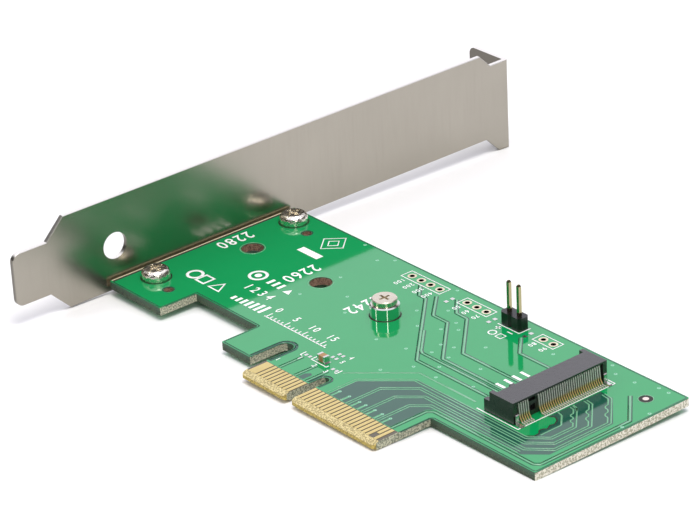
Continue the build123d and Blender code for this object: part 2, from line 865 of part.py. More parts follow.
# Chip capacitor with its wrapped ends, its lands and the lands left bare
cap_x, cap_y = capacitor_place
with BuildPart() as capacitor_body:
    with BuildSketch(Plane.XY.offset(land_thickness + capacitor_wrap)):
        with Locations(capacitor_place):
            Rectangle(
                capacitor_length - 2 * capacitor_cap, capacitor_width - 2 * capacitor_wrap
            )
    extrude(amount=capacitor_height - 2 * capacitor_wrap)
capacitor_body.part.label = "capacitor_body"
export_step(capacitor_body.part, "parts/capacitor_body.step")

with BuildPart() as capacitor_ends:
    with BuildSketch(Plane.XY.offset(land_thickness)):
        for side in (-1, 1):
            with Locations((cap_x + side * (capacitor_length - capacitor_cap) / 2, cap_y)):
                Rectangle(capacitor_cap, capacitor_width)
    extrude(amount=capacitor_height)
    fillet(capacitor_ends.edges().filter_by(Axis.Z), radius=capacitor_edge)
capacitor_ends.part.label = "capacitor_ends"
export_step(capacitor_ends.part, "parts/capacitor_ends.step")

with BuildPart() as capacitor_lands:
    with BuildSketch():
        for side in (-1, 1):
            with Locations((cap_x + side * capacitor_land_offset, cap_y)):
                Rectangle(*capacitor_land)
    extrude(amount=land_thickness)
capacitor_lands.part.label = "capacitor_lands"
export_step(capacitor_lands.part, "parts/capacitor_lands.step")

with BuildPart() as spare_lands:
    with BuildSketch():
        for x, y in spare_places:
            with Locations((x - spare_land_pitch / 2, y), (x + spare_land_pitch / 2, y)):
                Rectangle(*spare_land_size)
        for x, drop in upright_places:
            y = grid_line - drop
            with Locations((x, y - upright_land_pitch / 2), (x, y + upright_land_pitch / 2)):
                Rectangle(*upright_land_size)
    extrude(amount=land_thickness)
    fillet(spare_lands.edges().filter_by(Axis.Z), radius=spare_land_corner)
spare_lands.part.label = "spare_lands"
export_step(spare_lands.part, "parts/spare_lands.step")

# Sighting mark for the assembly machine
with BuildPart() as sighting_mark:
    with BuildSketch():
        with Locations((far_edge - fiducial_margins[0], card_height - fiducial_margins[1])):
            Circle(fiducial_diameter / 2)
    extrude(amount=land_thickness)
sighting_mark.part.label = "sighting_mark"
export_step(sighting_mark.part, "parts/sighting_mark.step")
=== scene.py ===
"""Dressed scene of a plug-in adapter card with a slot bracket and a gumstick module socket."""

import logging
import math
from dataclasses import dataclass
from enum import Enum
from typing import Optional

import bmesh
import bpy
from mathutils import Matrix, Vector


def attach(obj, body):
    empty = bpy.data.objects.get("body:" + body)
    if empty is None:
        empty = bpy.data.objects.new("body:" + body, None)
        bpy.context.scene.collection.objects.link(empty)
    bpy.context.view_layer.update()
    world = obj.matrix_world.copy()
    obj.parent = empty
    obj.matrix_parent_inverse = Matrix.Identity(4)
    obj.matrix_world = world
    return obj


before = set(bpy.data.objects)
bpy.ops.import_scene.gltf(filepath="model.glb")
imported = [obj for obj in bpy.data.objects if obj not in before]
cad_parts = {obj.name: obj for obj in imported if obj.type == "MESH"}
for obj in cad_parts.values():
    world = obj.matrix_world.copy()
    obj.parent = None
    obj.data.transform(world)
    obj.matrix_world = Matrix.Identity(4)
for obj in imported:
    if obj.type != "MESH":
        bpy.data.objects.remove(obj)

logging.basicConfig(level=logging.INFO, format="%(name)s: %(message)s")
log = logging.getLogger("adapter_card")

MM = 0.001
BODY = "root"
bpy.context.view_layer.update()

Point = tuple[float, float]
Path = tuple[Point, ...]
Socket = bpy.types.NodeSocket
Tree = bpy.types.NodeTree
Material = bpy.types.Material
Mesh = bpy.types.Mesh
Piece = bpy.types.Object


class Layer(Enum):
    """Heights of the thin layers above the card's component face, in millimetres."""

    BARE = 0.006
    GAP = 0.012
    COPPER = 0.020
    INK = 0.028


def linear(code: str) -> tuple[float, float, float, float]:
    """Turns an sRGB hex colour into linear light.

    Args:
        code: Colour as six hex digits, with or without a leading hash.

    Returns:
        Red, green, blue and an alpha of one.
    """
    digits = code.lstrip("#")
    shares = (int(digits[i:i + 2], 16) / 255 for i in (0, 2, 4))
    light = [s / 12.92 if s <= 0.04045 else ((s + 0.055) / 1.055) ** 2.4 for s in shares]
    return (light[0], light[1], light[2], 1.0)


def add_node(tree: Tree, kind: str, inputs: Optional[dict] = None,
             **settings: object) -> bpy.types.Node:
    """Adds one node with its settings, values and links.

    Args:
        tree: Tree that gets the node.
        kind: Blender's type name of the node.
        inputs: Socket name or number to a value or to an output socket.
        **settings: Properties of the node itself.

    Returns:
        The new node.
    """
    node = tree.nodes.new(kind)
    for key, value in settings.items():
        setattr(node, key, value)
    for socket, value in (inputs or {}).items():
        if isinstance(value, Socket):
            tree.links.new(value, node.inputs[socket])
        else:
            node.inputs[socket].default_value = value
    return node


# ---------------------------------------------------------------- finishes


@dataclass(frozen=True)
class Finish:
    """A real surface as a node material: two drifting tones, a grain and a gloss."""

    name: str
    tone: str
    drift_tone: str
    drift_mm: float = 5.0
    grain_mm: float = 0.4
    grain_depth_mm: float = 0.004
    roughness: float = 0.5
    roughness_spread: float = 0.08
    metallic: float = 0.0
    ior: float = 1.5

    def build(self) -> Material:
        """Builds the material.

        Returns:
            The finished material.
        """
        material = bpy.data.materials.new(self.name)
        material.use_nodes = True
        tree = material.node_tree
        tree.nodes.clear()
        place = add_node(tree, "ShaderNodeTexCoord").outputs["Object"]
        shader = add_node(tree, "ShaderNodeBsdfPrincipled", {"Metallic": self.metallic, "IOR": self.ior})
        add_node(tree, "ShaderNodeOutputMaterial", {"Surface": shader.outputs["BSDF"]})
        tree.links.new(self.colour(tree, place), shader.inputs["Base Color"])
        tree.links.new(self.gloss(tree, place), shader.inputs["Roughness"])
        tree.links.new(self.relief(tree, place), shader.inputs["Normal"])
        return material

    def noise(self, tree: Tree, place: Socket, size_mm: float,
              detail: float = 2.0) -> Socket:
        """A noise whose blotches have one real size.

        Args:
            tree: Tree of the material.
            place: Coordinates in metres.
            size_mm: Size of a blotch in millimetres.
            detail: Octaves of finer noise.

        Returns:
            The noise's factor.
        """
        scale = 1 / (size_mm * MM)
        node = add_node(tree, "ShaderNodeTexNoise", {"Vector": place, "Scale": scale, "Detail": detail})
        return node.outputs["Fac"]

    def colour(self, tree: Tree, place: Socket) -> Socket:
        """Colour that drifts slowly between the two tones."""
        drift = self.noise(tree, place, self.drift_mm, 3.0)
        mix = add_node(tree, "ShaderNodeMix", {0: drift, 6: linear(self.tone), 7: linear(self.drift_tone)},
                       data_type="RGBA")
        return mix.outputs[2]

    def gloss(self, tree: Tree, place: Socket) -> Socket:
        """Roughness that varies a little with the grain."""
        span = add_node(tree, "ShaderNodeMapRange", {
            "Value": self.noise(tree, place, self.drift_mm / 3),
            "To Min": self.roughness * (1 - self.roughness_spread),
            "To Max": self.roughness * (1 + self.roughness_spread),
        })
        return span.outputs["Result"]

    def relief(self, tree: Tree, place: Socket) -> Socket:
        """Bump of the finest grain."""
        bump = add_node(tree, "ShaderNodeBump", {
            "Height": self.noise(tree, place, self.grain_mm),
            "Strength": 1.0,
            "Distance": self.grain_depth_mm * MM,
        })
        return bump.outputs["Normal"]


@dataclass(frozen=True)
class CardLaminate(Finish):
    """Glass-epoxy card: glossy green mask on its faces, milled weave on its edges, nose and holes; the cut edges
    carry painted light and painted shade by the way they face.
    """

    # Edge tones by facing: the far end and the back end are painted light, the long sides painted shade, the
    # inner ends a middle tone.
    painted_light_end_tones: tuple[str, str] = ("#ACA98F", "#F2EFDF")
    inner_end_tones: tuple[str, str] = ("#6E7560", "#C9C9AE")
    painted_light_back_tones: tuple[str, str] = ("#E8DDB8", "#FFF8E0")
    painted_shade_side_tones: tuple[str, str] = ("#182818", "#405438")
    far_end_mm: float = 40.0
    back_end_mm: float = -56.5
    side_top_tone: str = "#2C5B40"
    hole_tones: tuple[str, str] = ("#6A4C3A", "#A3806A")
    nose_tones: tuple[str, str] = ("#8F7C33", "#CDB658")
    bevel_tones: tuple[str, str] = ("#9A8A5A", "#D8C990")
    between_tone: str = "#4B4226"
    rim_tone: str = "#1D5238"
    weave_mm: float = 0.3
    speck_span: tuple[float, float] = (0.4, 0.58)
    end_turn: float = 0.6
    face_turn: float = 0.985
    cut_turn: float = 0.5
    side_span_mm: tuple[float, float] = (-1.1, -0.2)
    side_top_share: float = 0.75
    gloss_span: tuple[float, float] = (0.95, 0.99)
    cut_roughness: float = 0.75
    rim_mm: float = 0.13
    mask_line_mm: float = 5.55
    nose_mm: float = 0.7
    hook_far_side_mm: float = -15.5
    hole_fields_mm: tuple[tuple[float, float, float, float], ...] = (
        (-4.75, 50.75, 30.0, 16.5), (-49.25, 6.25, 25.85, 20.65),
    )

    def colour(self, tree: Tree, place: Socket) -> Socket:
        """Mask colour on the faces, weave colours wherever the laminate is cut or left bare, painted lighter on
        the far and back ends and darker on the long sides as painted light and shade.
        """
        speck = add_node(tree, "ShaderNodeMapRange", {
            "Value": self.noise(tree, place, self.weave_mm, 1.5),
            "From Min": self.speck_span[0], "From Max": self.speck_span[1],
        }).outputs["Result"]
        where = add_node(tree, "ShaderNodeSeparateXYZ", {"Vector": place})
        x, y, z = (where.outputs[axis] for axis in "XYZ")
        turned, _, steep = self.facing(tree)
        tests = {}
        for name, value, step, limit in (
            ("end", turned, "GREATER_THAN", self.end_turn),
            ("face", steep, "GREATER_THAN", self.face_turn),
            ("cut", steep, "LESS_THAN", self.cut_turn),
            ("outer", x, "GREATER_THAN", self.far_end_mm * MM),
            ("behind", x, "LESS_THAN", self.back_end_mm * MM),
            ("nose", y, "LESS_THAN", self.nose_mm * MM),
            ("rim", z, "GREATER_THAN", -self.rim_mm * MM),
            ("beyond", y, "GREATER_THAN", self.mask_line_mm * MM),
            ("beside", x, "LESS_THAN", self.hook_far_side_mm * MM),
        ):
            test = add_node(tree, "ShaderNodeMath", {0: value, 1: limit}, operation=step)
            tests[name] = test.outputs["Value"]
        fields = []
        for centre_x, half_x, centre_y, half_y in self.hole_fields_mm:
            along, up = (
                add_node(tree, "ShaderNodeMath", {0: value, 1: centre * MM, 2: half * MM},
                         operation="COMPARE").outputs["Value"]
                for value, centre, half in ((x, centre_x, half_x), (y, centre_y, half_y)))
            fields.append((along, "MULTIPLY", up))
        height = add_node(tree, "ShaderNodeMapRange", {
            "Value": z, "From Min": self.side_span_mm[0] * MM, "From Max": self.side_span_mm[1] * MM,
        }).outputs["Result"]
        masked_rim, masked, upper, *inside = (
            add_node(tree, "ShaderNodeMath", {0: one, 1: other}, operation=step).outputs["Value"]
            for one, step, other in (
                (tests["beyond"], "GREATER_THAN", tests["behind"]),
                (tests["beyond"], "MAXIMUM", tests["beside"]),
                (height, "MULTIPLY", self.side_top_share),
                *fields))
        at_rim = add_node(tree, "ShaderNodeMath", {0: tests["rim"], 1: masked_rim},
                          operation="MULTIPLY").outputs["Value"]
        # Painted light on the far and back ends, painted shade on the long sides.
        end = self.stack(tree, self.weave(tree, speck, self.inner_end_tones), (
            (tests["outer"], self.weave(tree, speck, self.painted_light_end_tones)),
            (tests["behind"], self.weave(tree, speck, self.painted_light_back_tones))))
        holes = self.weave(tree, speck, self.hole_tones)
        cut = self.stack(tree, self.weave(tree, speck, self.painted_shade_side_tones), (
            (upper, linear(self.side_top_tone)),
            (tests["end"], end),
            (tests["nose"], self.weave(tree, speck, self.nose_tones)),
            *((share, holes) for share in inside),
            (at_rim, linear(self.rim_tone))))
        face = self.stack(tree, linear(self.between_tone), ((masked, super().colour(tree, place)),))
        return self.stack(tree, self.weave(tree, speck, self.bevel_tones), (
            (tests["cut"], cut), (tests["face"], face)))

    def facing(self, tree: Tree) -> tuple[Socket, ...]:
        """How far the surface faces along X, Y and Z, each without its sign."""
        way = add_node(tree, "ShaderNodeSeparateXYZ", {
            "Vector": add_node(tree, "ShaderNodeNewGeometry").outputs["True Normal"]})
        sizes = (add_node(tree, "ShaderNodeMath", {0: way.outputs[axis]}, operation="ABSOLUTE") for axis in "XYZ")
        return tuple(size.outputs["Value"] for size in sizes)

    def stack(self, tree: Tree, base: object,
              layers: tuple[tuple[object, object], ...]) -> Socket:
        """Lays colours over a base, each by its own share.

        Args:
            tree: Tree of the material.
            base: Colour at the bottom.
            layers: Share and colour of each layer, from the bottom up.

        Returns:
            The colour on top.
        """
        for share, tone in layers:
            base = add_node(tree, "ShaderNodeMix", {0: share, 6: base, 7: tone}, data_type="RGBA").outputs[2]
        return base

    def weave(self, tree: Tree, speck: Socket,
              tones: tuple[str, str]) -> Socket:
        """Cut glass bundles: light specks in darker resin."""
        return self.stack(tree, linear(tones[0]), ((speck, linear(tones[1])),))

    def gloss(self, tree: Tree, place: Socket) -> Socket:
        """Smooth mask on the faces and dull cut fibres on the sides."""
        span = add_node(tree, "ShaderNodeMapRange", {
            "Value": self.facing(tree)[2], "From Min": self.gloss_span[0], "From Max": self.gloss_span[1],
            "To Min": self.cut_roughness, "To Max": self.roughness})
        return span.outputs["Result"]


@dataclass(frozen=True)
class Metal(Finish):
    """A bare or plated metal."""

    metallic: float = 1.0


@dataclass(frozen=True)
class RolledSheet(Metal):
    """Plated sheet: faint rolling streaks, a painted highlight on faces that face up, and a darker tone on faces
    that face -Y that is partly duller sheared ends and partly painted shade.
    """

    up_facing_highlight_tone: str = "#F1EEE6"
    sheared_end_and_shade_tone: str = "#6F6B63"
    streak_tone: str = "#8F8A80"
    streak_mm: float = 0.5
    streak_stretch: float = 0.05
    streak_share: float = 0.14

    def colour(self, tree: Tree, place: Socket) -> Socket:
        """Streaked face tone, with a painted highlight where the sheet faces up and, where it faces -Y, a darker
        tone for duller sheared ends and painted shade.
        """
        stretched = add_node(tree, "ShaderNodeMapping", {
            "Vector": place, "Scale": (1.0, 1.0, self.streak_stretch)}).outputs["Vector"]
        streak = add_node(tree, "ShaderNodeMapRange", {
            "Value": self.noise(tree, stretched, self.streak_mm, 3.0), "From Min": 0.45, "From Max": 0.75,
            "To Max": self.streak_share}).outputs["Result"]
        base = add_node(tree, "ShaderNodeMix", {
            0: streak, 6: super().colour(tree, place), 7: linear(self.streak_tone)}, data_type="RGBA").outputs[2]
        # Painted highlight on up-facing faces; darker -Y-facing faces are partly sheared ends, partly painted
        # shade.
        way = add_node(tree, "ShaderNodeSeparateXYZ", {
            "Vector": add_node(tree, "ShaderNodeNewGeometry").outputs["True Normal"]})
        up = add_node(tree, "ShaderNodeMapRange", {
            "Value": way.outputs["Z"], "From Min": 0.3, "From Max": 0.6}).outputs["Result"]
        across = add_node(tree, "ShaderNodeMapRange", {
            "Value": way.outputs["Y"], "From Min": -0.6, "From Max": -0.95}).outputs["Result"]
        highlighted = add_node(tree, "ShaderNodeMix", {0: up, 6: base, 7: linear(self.up_facing_highlight_tone)}, data_type="RGBA")
        cut = add_node(tree, "ShaderNodeMix", {
            0: across, 6: highlighted.outputs[2], 7: linear(self.sheared_end_and_shade_tone)}, data_type="RGBA")
        return cut.outputs[2]


@dataclass(frozen=True)
class BarrelPlate(Metal):
    """Plated hole: pale ring on the face, a dark tone down the bore below it."""

    bore_tone: str = "#3A2417"
    bore_top_mm: float = 0.01

    def colour(self, tree: Tree, place: Socket) -> Socket:
        """Ring tone above the card's face, bore tone under it."""
        height = add_node(tree, "ShaderNodeSeparateXYZ", {"Vector": place}).outputs["Z"]
        low = add_node(tree, "ShaderNodeMath", {0: height, 1: self.bore_top_mm * MM},
                       operation="LESS_THAN").outputs["Value"]
        mix = add_node(tree, "ShaderNodeMix", {
            0: low, 6: super().colour(tree, place), 7: linear(self.bore_tone)}, data_type="RGBA")
        return mix.outputs[2]


@dataclass(frozen=True)
class SpringStrip(Metal):
    """Socket springs: tinned on top and at the feet, with gold flash on the slanted middle."""

    gold_tone: str = "#F2D896"
    gold_low_mm: float = 0.22
    gold_high_mm: float = 1.1

    def colour(self, tree: Tree, place: Socket) -> Socket:
        """Tin above and below, gold between the two heights."""
        tin = super().colour(tree, place)
        height = add_node(tree, "ShaderNodeSeparateXYZ", {"Vector": place}).outputs["Z"]
        over = add_node(tree, "ShaderNodeMapRange", {
            "Value": height, "From Min": self.gold_low_mm * MM, "From Max": (self.gold_low_mm + 0.1) * MM})
        under = add_node(tree, "ShaderNodeMapRange", {
            "Value": height, "From Min": (self.gold_high_mm + 0.5) * MM, "From Max": self.gold_high_mm * MM})
        share = add_node(tree, "ShaderNodeMath", {0: over.outputs["Result"], 1: under.outputs["Result"]},
                         operation="MULTIPLY").outputs["Value"]
        mix = add_node(tree, "ShaderNodeMix", {0: share, 6: tin, 7: linear(self.gold_tone)}, data_type="RGBA")
        return mix.outputs[2]


class Finishes:
    """All finishes of the card, built once."""

    def __init__(self) -> None:
        """Builds the materials from what each real surface is."""
        # Liquid photo mask over copper and glass epoxy, cured to a mirror: deep green below,
        # with a clear picture of whatever stands behind it. Slight ripple of about a millimetre.
        self.card = CardLaminate("solder_mask_on_glass_epoxy", "#0A9351", "#0E9B57", drift_mm=9.0,
                                 grain_mm=1.1, grain_depth_mm=0.0016, roughness=0.06, ior=1.74).build()
        # The same mask where it lies on bare dark laminate.
        self.mask_on_laminate = Finish("solder_mask_on_bare_laminate", "#1C5040", "#225646", drift_mm=3.0,
                                       grain_mm=0.9, grain_depth_mm=0.0016, roughness=0.09, ior=1.62).build()
        # The mask sunk into the gap beside a track, in shade.
        self.mask_in_gap = Finish("solder_mask_in_track_gap", "#1F5540", "#26604A", drift_mm=2.0,
                                  grain_mm=0.6, grain_depth_mm=0.003, roughness=0.2, ior=1.5).build()
        # The mask drawn thin over a raised track, so the copper's edge brightens it.
        self.mask_on_track = Finish("solder_mask_on_track", "#62AA7E", "#70B68B", drift_mm=2.5,
                                    grain_mm=0.5, grain_depth_mm=0.003, roughness=0.1, ior=1.72).build()
        # The mask domed over a filled via, where it catches the light.
        self.mask_on_via = Finish("solder_mask_on_via", "#80C7A1", "#8DD0AD", drift_mm=1.0, grain_mm=0.4,
                                  grain_depth_mm=0.002, roughness=0.12, ior=1.72).build()
        # Pale strip along the back edge next to the bracket: painted light, standing in for the bright reflection
        # of the card's back edge in the bracket.
        self.painted_light_strip = Finish("painted_light_back_strip", "#EFE5C4", "#D9CDA6", drift_mm=0.8, grain_mm=0.25,
                               grain_depth_mm=0.006, roughness=0.6).build()
        # Dark epoxy with no mask, around the sighting mark and along the bare zone's border; the same tone is
        # painted shade in the rings round the fastener feet and in the strip beside the back edge.
        self.epoxy_and_painted_shade = Finish("bare_epoxy_and_painted_shade", "#15150F", "#26251A", drift_mm=1.0, grain_mm=0.3,
                                grain_depth_mm=0.006, roughness=0.55).build()
        # Screen-printed white epoxy ink, dull and slightly uneven.
        self.ink = Finish("white_screen_ink", "#FFFFFF", "#F6F8F5", drift_mm=1.5, grain_mm=0.25,
                          grain_depth_mm=0.003, roughness=0.42, ior=1.6).build()
        # Hard gold on nickel, plated flat: pale, soft gloss.
        self.hard_gold = Metal("hard_gold_plate", "#EAD694", "#D9C37C", drift_mm=3.0, grain_mm=0.35,
                                grain_depth_mm=0.003, roughness=0.3).build()
        # Immersion gold of the drilled rings, brighter and thinner, with a dark tone down the bore.
        self.ring_gold = BarrelPlate("immersion_gold", "#F6EBD2", "#EADBB8", drift_mm=1.2, grain_mm=0.3,
                                     grain_depth_mm=0.003, roughness=0.28).build()
        # Bare flux-coated copper of the sighting mark: pale pink.
        self.pale_copper = Metal("pale_coated_copper", "#FFF3EA", "#F6DFD2", drift_mm=0.6, grain_mm=0.3,
                                  grain_depth_mm=0.003, roughness=0.35).build()
        # Gold flash on drawn square pins, thin enough for the nickel to grey it.
        self.pin_gold = Metal("gold_flash_on_pin", "#A19C78", "#B5AE84", drift_mm=2.0, grain_mm=0.4,
                               grain_depth_mm=0.002, roughness=0.16).build()
        # Bright nickel on cold-rolled sheet: a slightly blurred mirror of a warm grey.
        self.bracket_nickel = RolledSheet("bright_nickel_on_sheet", "#A29D92", "#AEA99E", drift_mm=14.0,
                                          grain_mm=0.35, grain_depth_mm=0.0014, roughness=0.26).build()
        # Bright nickel on turned or headed steel: a sharp mirror.
        self.screw_nickel = Metal("bright_nickel_on_steel", "#FBF6EA", "#EDE7DA", drift_mm=2.0, grain_mm=0.5,
                                   grain_depth_mm=0.15, roughness=0.06).build()
        # Bright tin-nickel on the turned sleeve, polished by its own tool: the sharpest mirror here.
        self.sleeve_nickel = Metal("polished_turned_sleeve", "#E2E4DE", "#D4D7D1", drift_mm=2.0, grain_mm=0.8,
                                    grain_depth_mm=0.001, roughness=0.04).build()
        # The flat wafer head is tumbled, so it is satin and pale.
        self.wafer_nickel = Metal("satin_nickel_on_steel", "#E4DCC9", "#D0C7B5", drift_mm=1.0, grain_mm=0.3,
                                   grain_depth_mm=0.006, roughness=0.24).build()
        # Tin from hot solder: bright, slightly lumpy.
        self.tin = Metal("bright_tin_solder", "#E9E7E2", "#D5D4D0", drift_mm=0.8, grain_mm=0.4,
                          grain_depth_mm=0.008, roughness=0.25).build()
        # Glass-filled nylon moulded in black with a fine spark-eroded grain.
        self.socket_plastic = Finish("black_glass_filled_nylon", "#131212", "#282524", drift_mm=0.9, grain_mm=0.7,
                                     grain_depth_mm=0.045, roughness=0.28, ior=1.9).build()
        self.header_plastic = Finish("black_moulded_polyester", "#0B0B0C", "#121213", drift_mm=1.2, grain_mm=0.3,
                                     grain_depth_mm=0.003, roughness=0.3, ior=1.55).build()
        # Copper alloy springs, tinned at the tails and flashed with gold between.
        self.spring = SpringStrip("tinned_and_gilded_spring", "#F6F4EF", "#E4E1DA", drift_mm=0.6, grain_mm=0.3,
                                  grain_depth_mm=0.002, roughness=0.55).build()
        # Fired barium titanate: dull warm brown.
        self.ceramic = Finish("fired_ceramic", "#B08A5E", "#9A7448", drift_mm=0.5, grain_mm=0.12,
                              grain_depth_mm=0.004, roughness=0.5).build()
        # Matt white paper sweep of a photographer's table.
        self.sweep = Finish("matt_white_sweep", "#F7F7F7", "#F4F4F4", drift_mm=80.0, grain_mm=1.0,
                            grain_depth_mm=0.002, roughness=0.9).build()


# ---------------------------------------------------------------- makers


def dress(node: str, material: Material) -> None:
    """Gives a carried-over CAD node its finish.

    Args:
        node: Name of the CAD node.
        material: Finish for all its faces.
    """
    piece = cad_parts[node]
    piece.data.materials.clear()
    piece.data.materials.append(material)
    log.info("%s dressed in %s", node, material.name)


def hand_over(piece: Piece) -> Piece:
    """Registers a finished piece with the card's one body.

    Args:
        piece: Object at the origin, with its place in its mesh.

    Returns:
        The same piece.
    """
    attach(piece, BODY)
    log.info("%s has %d faces", piece.name, len(piece.data.polygons))
    return piece


def link(piece: Piece) -> Piece:
    """Puts an object into the scene."""
    bpy.context.scene.collection.objects.link(piece)
    return piece


def add_piece(name: str, mesh: Mesh, material: Material) -> Piece:
    """Adds a finished mesh as a piece of the card.

    Args:
        name: Name of the piece.
        mesh: Its mesh, in place.
        material: Its finish.

    Returns:
        The new piece.
    """
    mesh.materials.clear()
    mesh.materials.append(material)
    piece = bpy.data.objects.new(name, mesh)
    link(piece)
    return hand_over(piece)


class GeometryMaker:
    """Runs a Geometry Nodes tree on a bare mesh and keeps the result as a plain mesh."""

    title = "geometry_maker"

    def __init__(self) -> None:
        """Builds the tree once."""
        self.tree = bpy.data.node_groups.new(self.title, "GeometryNodeTree")
        self.tree.interface.new_socket("Source", in_out="INPUT", socket_type="NodeSocketGeometry")
        self.tree.interface.new_socket("Result", in_out="OUTPUT", socket_type="NodeSocketGeometry")
        self.build()

    def build(self) -> None:
        """Fills the tree; each maker has its own."""
        raise NotImplementedError

    def size_input(self, name: str) -> None:
        """Adds one named length to the tree's inputs."""
        self.tree.interface.new_socket(name, in_out="INPUT", socket_type="NodeSocketFloat")

    def close(self, geometry: Socket, finish: Socket) -> None:
        """Ends the tree with real geometry in its finish.

        Args:
            geometry: What the tree has made.
            finish: The material input.
        """
        real = add_node(self.tree, "GeometryNodeRealizeInstances", {"Geometry": geometry})
        dressed = add_node(self.tree, "GeometryNodeSetMaterial",
                           {"Geometry": real.outputs["Geometry"], "Material": finish})
        add_node(self.tree, "NodeGroupOutput", {"Result": dressed.outputs["Geometry"]})

    def make(self, name: str, source: Mesh, material: Material, slot: str,
             **sizes_mm: float) -> Piece:
        """Runs the tree and hands the result over.

        Args:
            name: Name of the piece.
            source: Points or paths that the tree works on.
            material: Finish of the result.
            slot: Not used.
            **sizes_mm: Lengths for the named inputs, in millimetres.

        Returns:
            The finished piece.
        """
        carrier = bpy.data.objects.new(name + "_source", source)
        link(carrier)
        modifier = carrier.modifiers.new(self.title, "NODES")
        modifier.node_group = self.tree
        for item in self.tree.interface.items_tree:
            if item.item_type == "SOCKET" and item.in_out == "INPUT":
                if item.name == "Finish":
                    modifier[item.identifier] = material
                elif item.name in sizes_mm:
                    modifier[item.identifier] = sizes_mm[item.name] * MM
        graph = bpy.context.evaluated_depsgraph_get()
        mesh = bpy.data.meshes.new_from_object(carrier.evaluated_get(graph))
        mesh.name = name
        carrier.modifiers.remove(modifier)
        bpy.data.objects.remove(carrier)
        return add_piece(name, mesh, material)


class RibbonMaker(GeometryMaker):
    """Lays a flat ribbon of ink or copper along every path of a wire mesh."""

    title = "ribbons_along_paths"

    def build(self) -> None:
        """Path, rounded corners, flat profile, swept solid."""
        for name in ("Width", "Thickness", "Corner"):
            self.size_input(name)
        self.tree.interface.new_socket("Finish", in_out="INPUT", socket_type="NodeSocketMaterial")
        given = add_node(self.tree, "NodeGroupInput")
        paths = add_node(self.tree, "GeometryNodeMeshToCurve", {"Mesh": given.outputs["Source"]})
        rounded = add_node(self.tree, "GeometryNodeFilletCurve", {
            "Curve": paths.outputs["Curve"], "Count": 4, "Radius": given.outputs["Corner"], "Limit Radius": True},
            mode="POLY")
        level = add_node(self.tree, "GeometryNodeSetCurveNormal", {"Curve": rounded.outputs["Curve"]},
                         mode="Z_UP")
        profile = add_node(self.tree, "GeometryNodeCurvePrimitiveQuadrilateral", {
            "Width": given.outputs["Width"], "Height": given.outputs["Thickness"]})
        swept = add_node(self.tree, "GeometryNodeCurveToMesh", {
            "Curve": level.outputs["Curve"], "Profile Curve": profile.outputs["Curve"], "Fill Caps": True})
        self.close(swept.outputs["Mesh"], given.outputs["Finish"])


class DotMaker(GeometryMaker):
    """Sets a low round dome on every point of a mesh."""

    title = "domes_on_points"

    def build(self) -> None:
        """Points, one small cone frustum, instances of it."""
        for name in ("Foot", "Crown", "Height"):
            self.size_input(name)
        self.tree.interface.new_socket("Finish", in_out="INPUT", socket_type="NodeSocketMaterial")
        given = add_node(self.tree, "NodeGroupInput")
        dome = add_node(self.tree, "GeometryNodeMeshCone", {
            "Vertices": 14, "Side Segments": 1, "Fill Segments": 1, "Radius Top": given.outputs["Crown"],
            "Radius Bottom": given.outputs["Foot"], "Depth": given.outputs["Height"]})
        points = add_node(self.tree, "GeometryNodeMeshToPoints", {"Mesh": given.outputs["Source"]})
        placed = add_node(self.tree, "GeometryNodeInstanceOnPoints", {
            "Points": points.outputs["Points"], "Instance": dome.outputs["Mesh"]})
        self.close(placed.outputs["Instances"], given.outputs["Finish"])


def wire(paths: tuple[Path, ...], level_mm: float, closed: bool = False) -> Mesh:
    """Makes a wire mesh of flat paths.

    Args:
        paths: Paths in millimetres.
        level_mm: Their height in millimetres.
        closed: Whether each path runs back to its start.

    Returns:
        A mesh of edges only.
    """
    points: list[tuple[float, float, float]] = []
    edges: list[tuple[int, int]] = []
    for path in paths:
        first = len(points)
        points += [(x * MM, y * MM, level_mm * MM) for x, y in path]
        edges += [(i, i + 1) for i in range(first, len(points) - 1)]
        if closed:
            edges.append((len(points) - 1, first))
    mesh = bpy.data.meshes.new("wire")
    mesh.from_pydata(points, edges, [])
    return mesh


def dots(places: tuple[Point, ...], level_mm: float) -> Mesh:
    """Makes a mesh of loose points at one height."""
    mesh = bpy.data.meshes.new("dots")
    mesh.from_pydata([(x * MM, y * MM, level_mm * MM) for x, y in places], [], [])
    return mesh


def plates(outlines: tuple[Path, ...], level_mm: float, thickness_mm: float = 0.006) -> Mesh:
    """Makes thin closed plates from flat outlines.

    Args:
        outlines: Corner points of each plate, in millimetres.
        level_mm: Height of the plates' tops.
        thickness_mm: Their thickness.

    Returns:
        A closed mesh with its faces outwards.
    """
    shape = bmesh.new()
    for outline in outlines:
        corners = [shape.verts.new((x * MM, y * MM, level_mm * MM)) for x, y in outline]
        shape.faces.new(corners)
    grown = bmesh.ops.extrude_face_region(shape, geom=list(shape.faces))
    lower = [v for v in grown["geom"] if isinstance(v, bmesh.types.BMVert)]
    bmesh.ops.translate(shape, verts=lower, vec=(0, 0, -thickness_mm * MM))
    bmesh.ops.triangulate(shape, faces=[f for f in shape.faces if len(f.verts) > 4])
    bmesh.ops.recalc_face_normals(shape, faces=list(shape.faces))
    mesh = bpy.data.meshes.new("plates")
    shape.to_mesh(mesh)
    shape.free()
    return mesh


def ring_path(centre: Point, radius: float, sides: int = 24) -> Path:
    """Points of a circle.

    Args:
        centre: Its centre in millimetres.
        radius: Its radius in millimetres.
        sides: Number of points.

    Returns:
        The points in order.
    """
    steps = (2 * math.pi * i / sides for i in range(sides))
    return tuple((centre[0] + radius * math.cos(a), centre[1] + radius * math.sin(a)) for a in steps)


# ---------------------------------------------------------------- the card


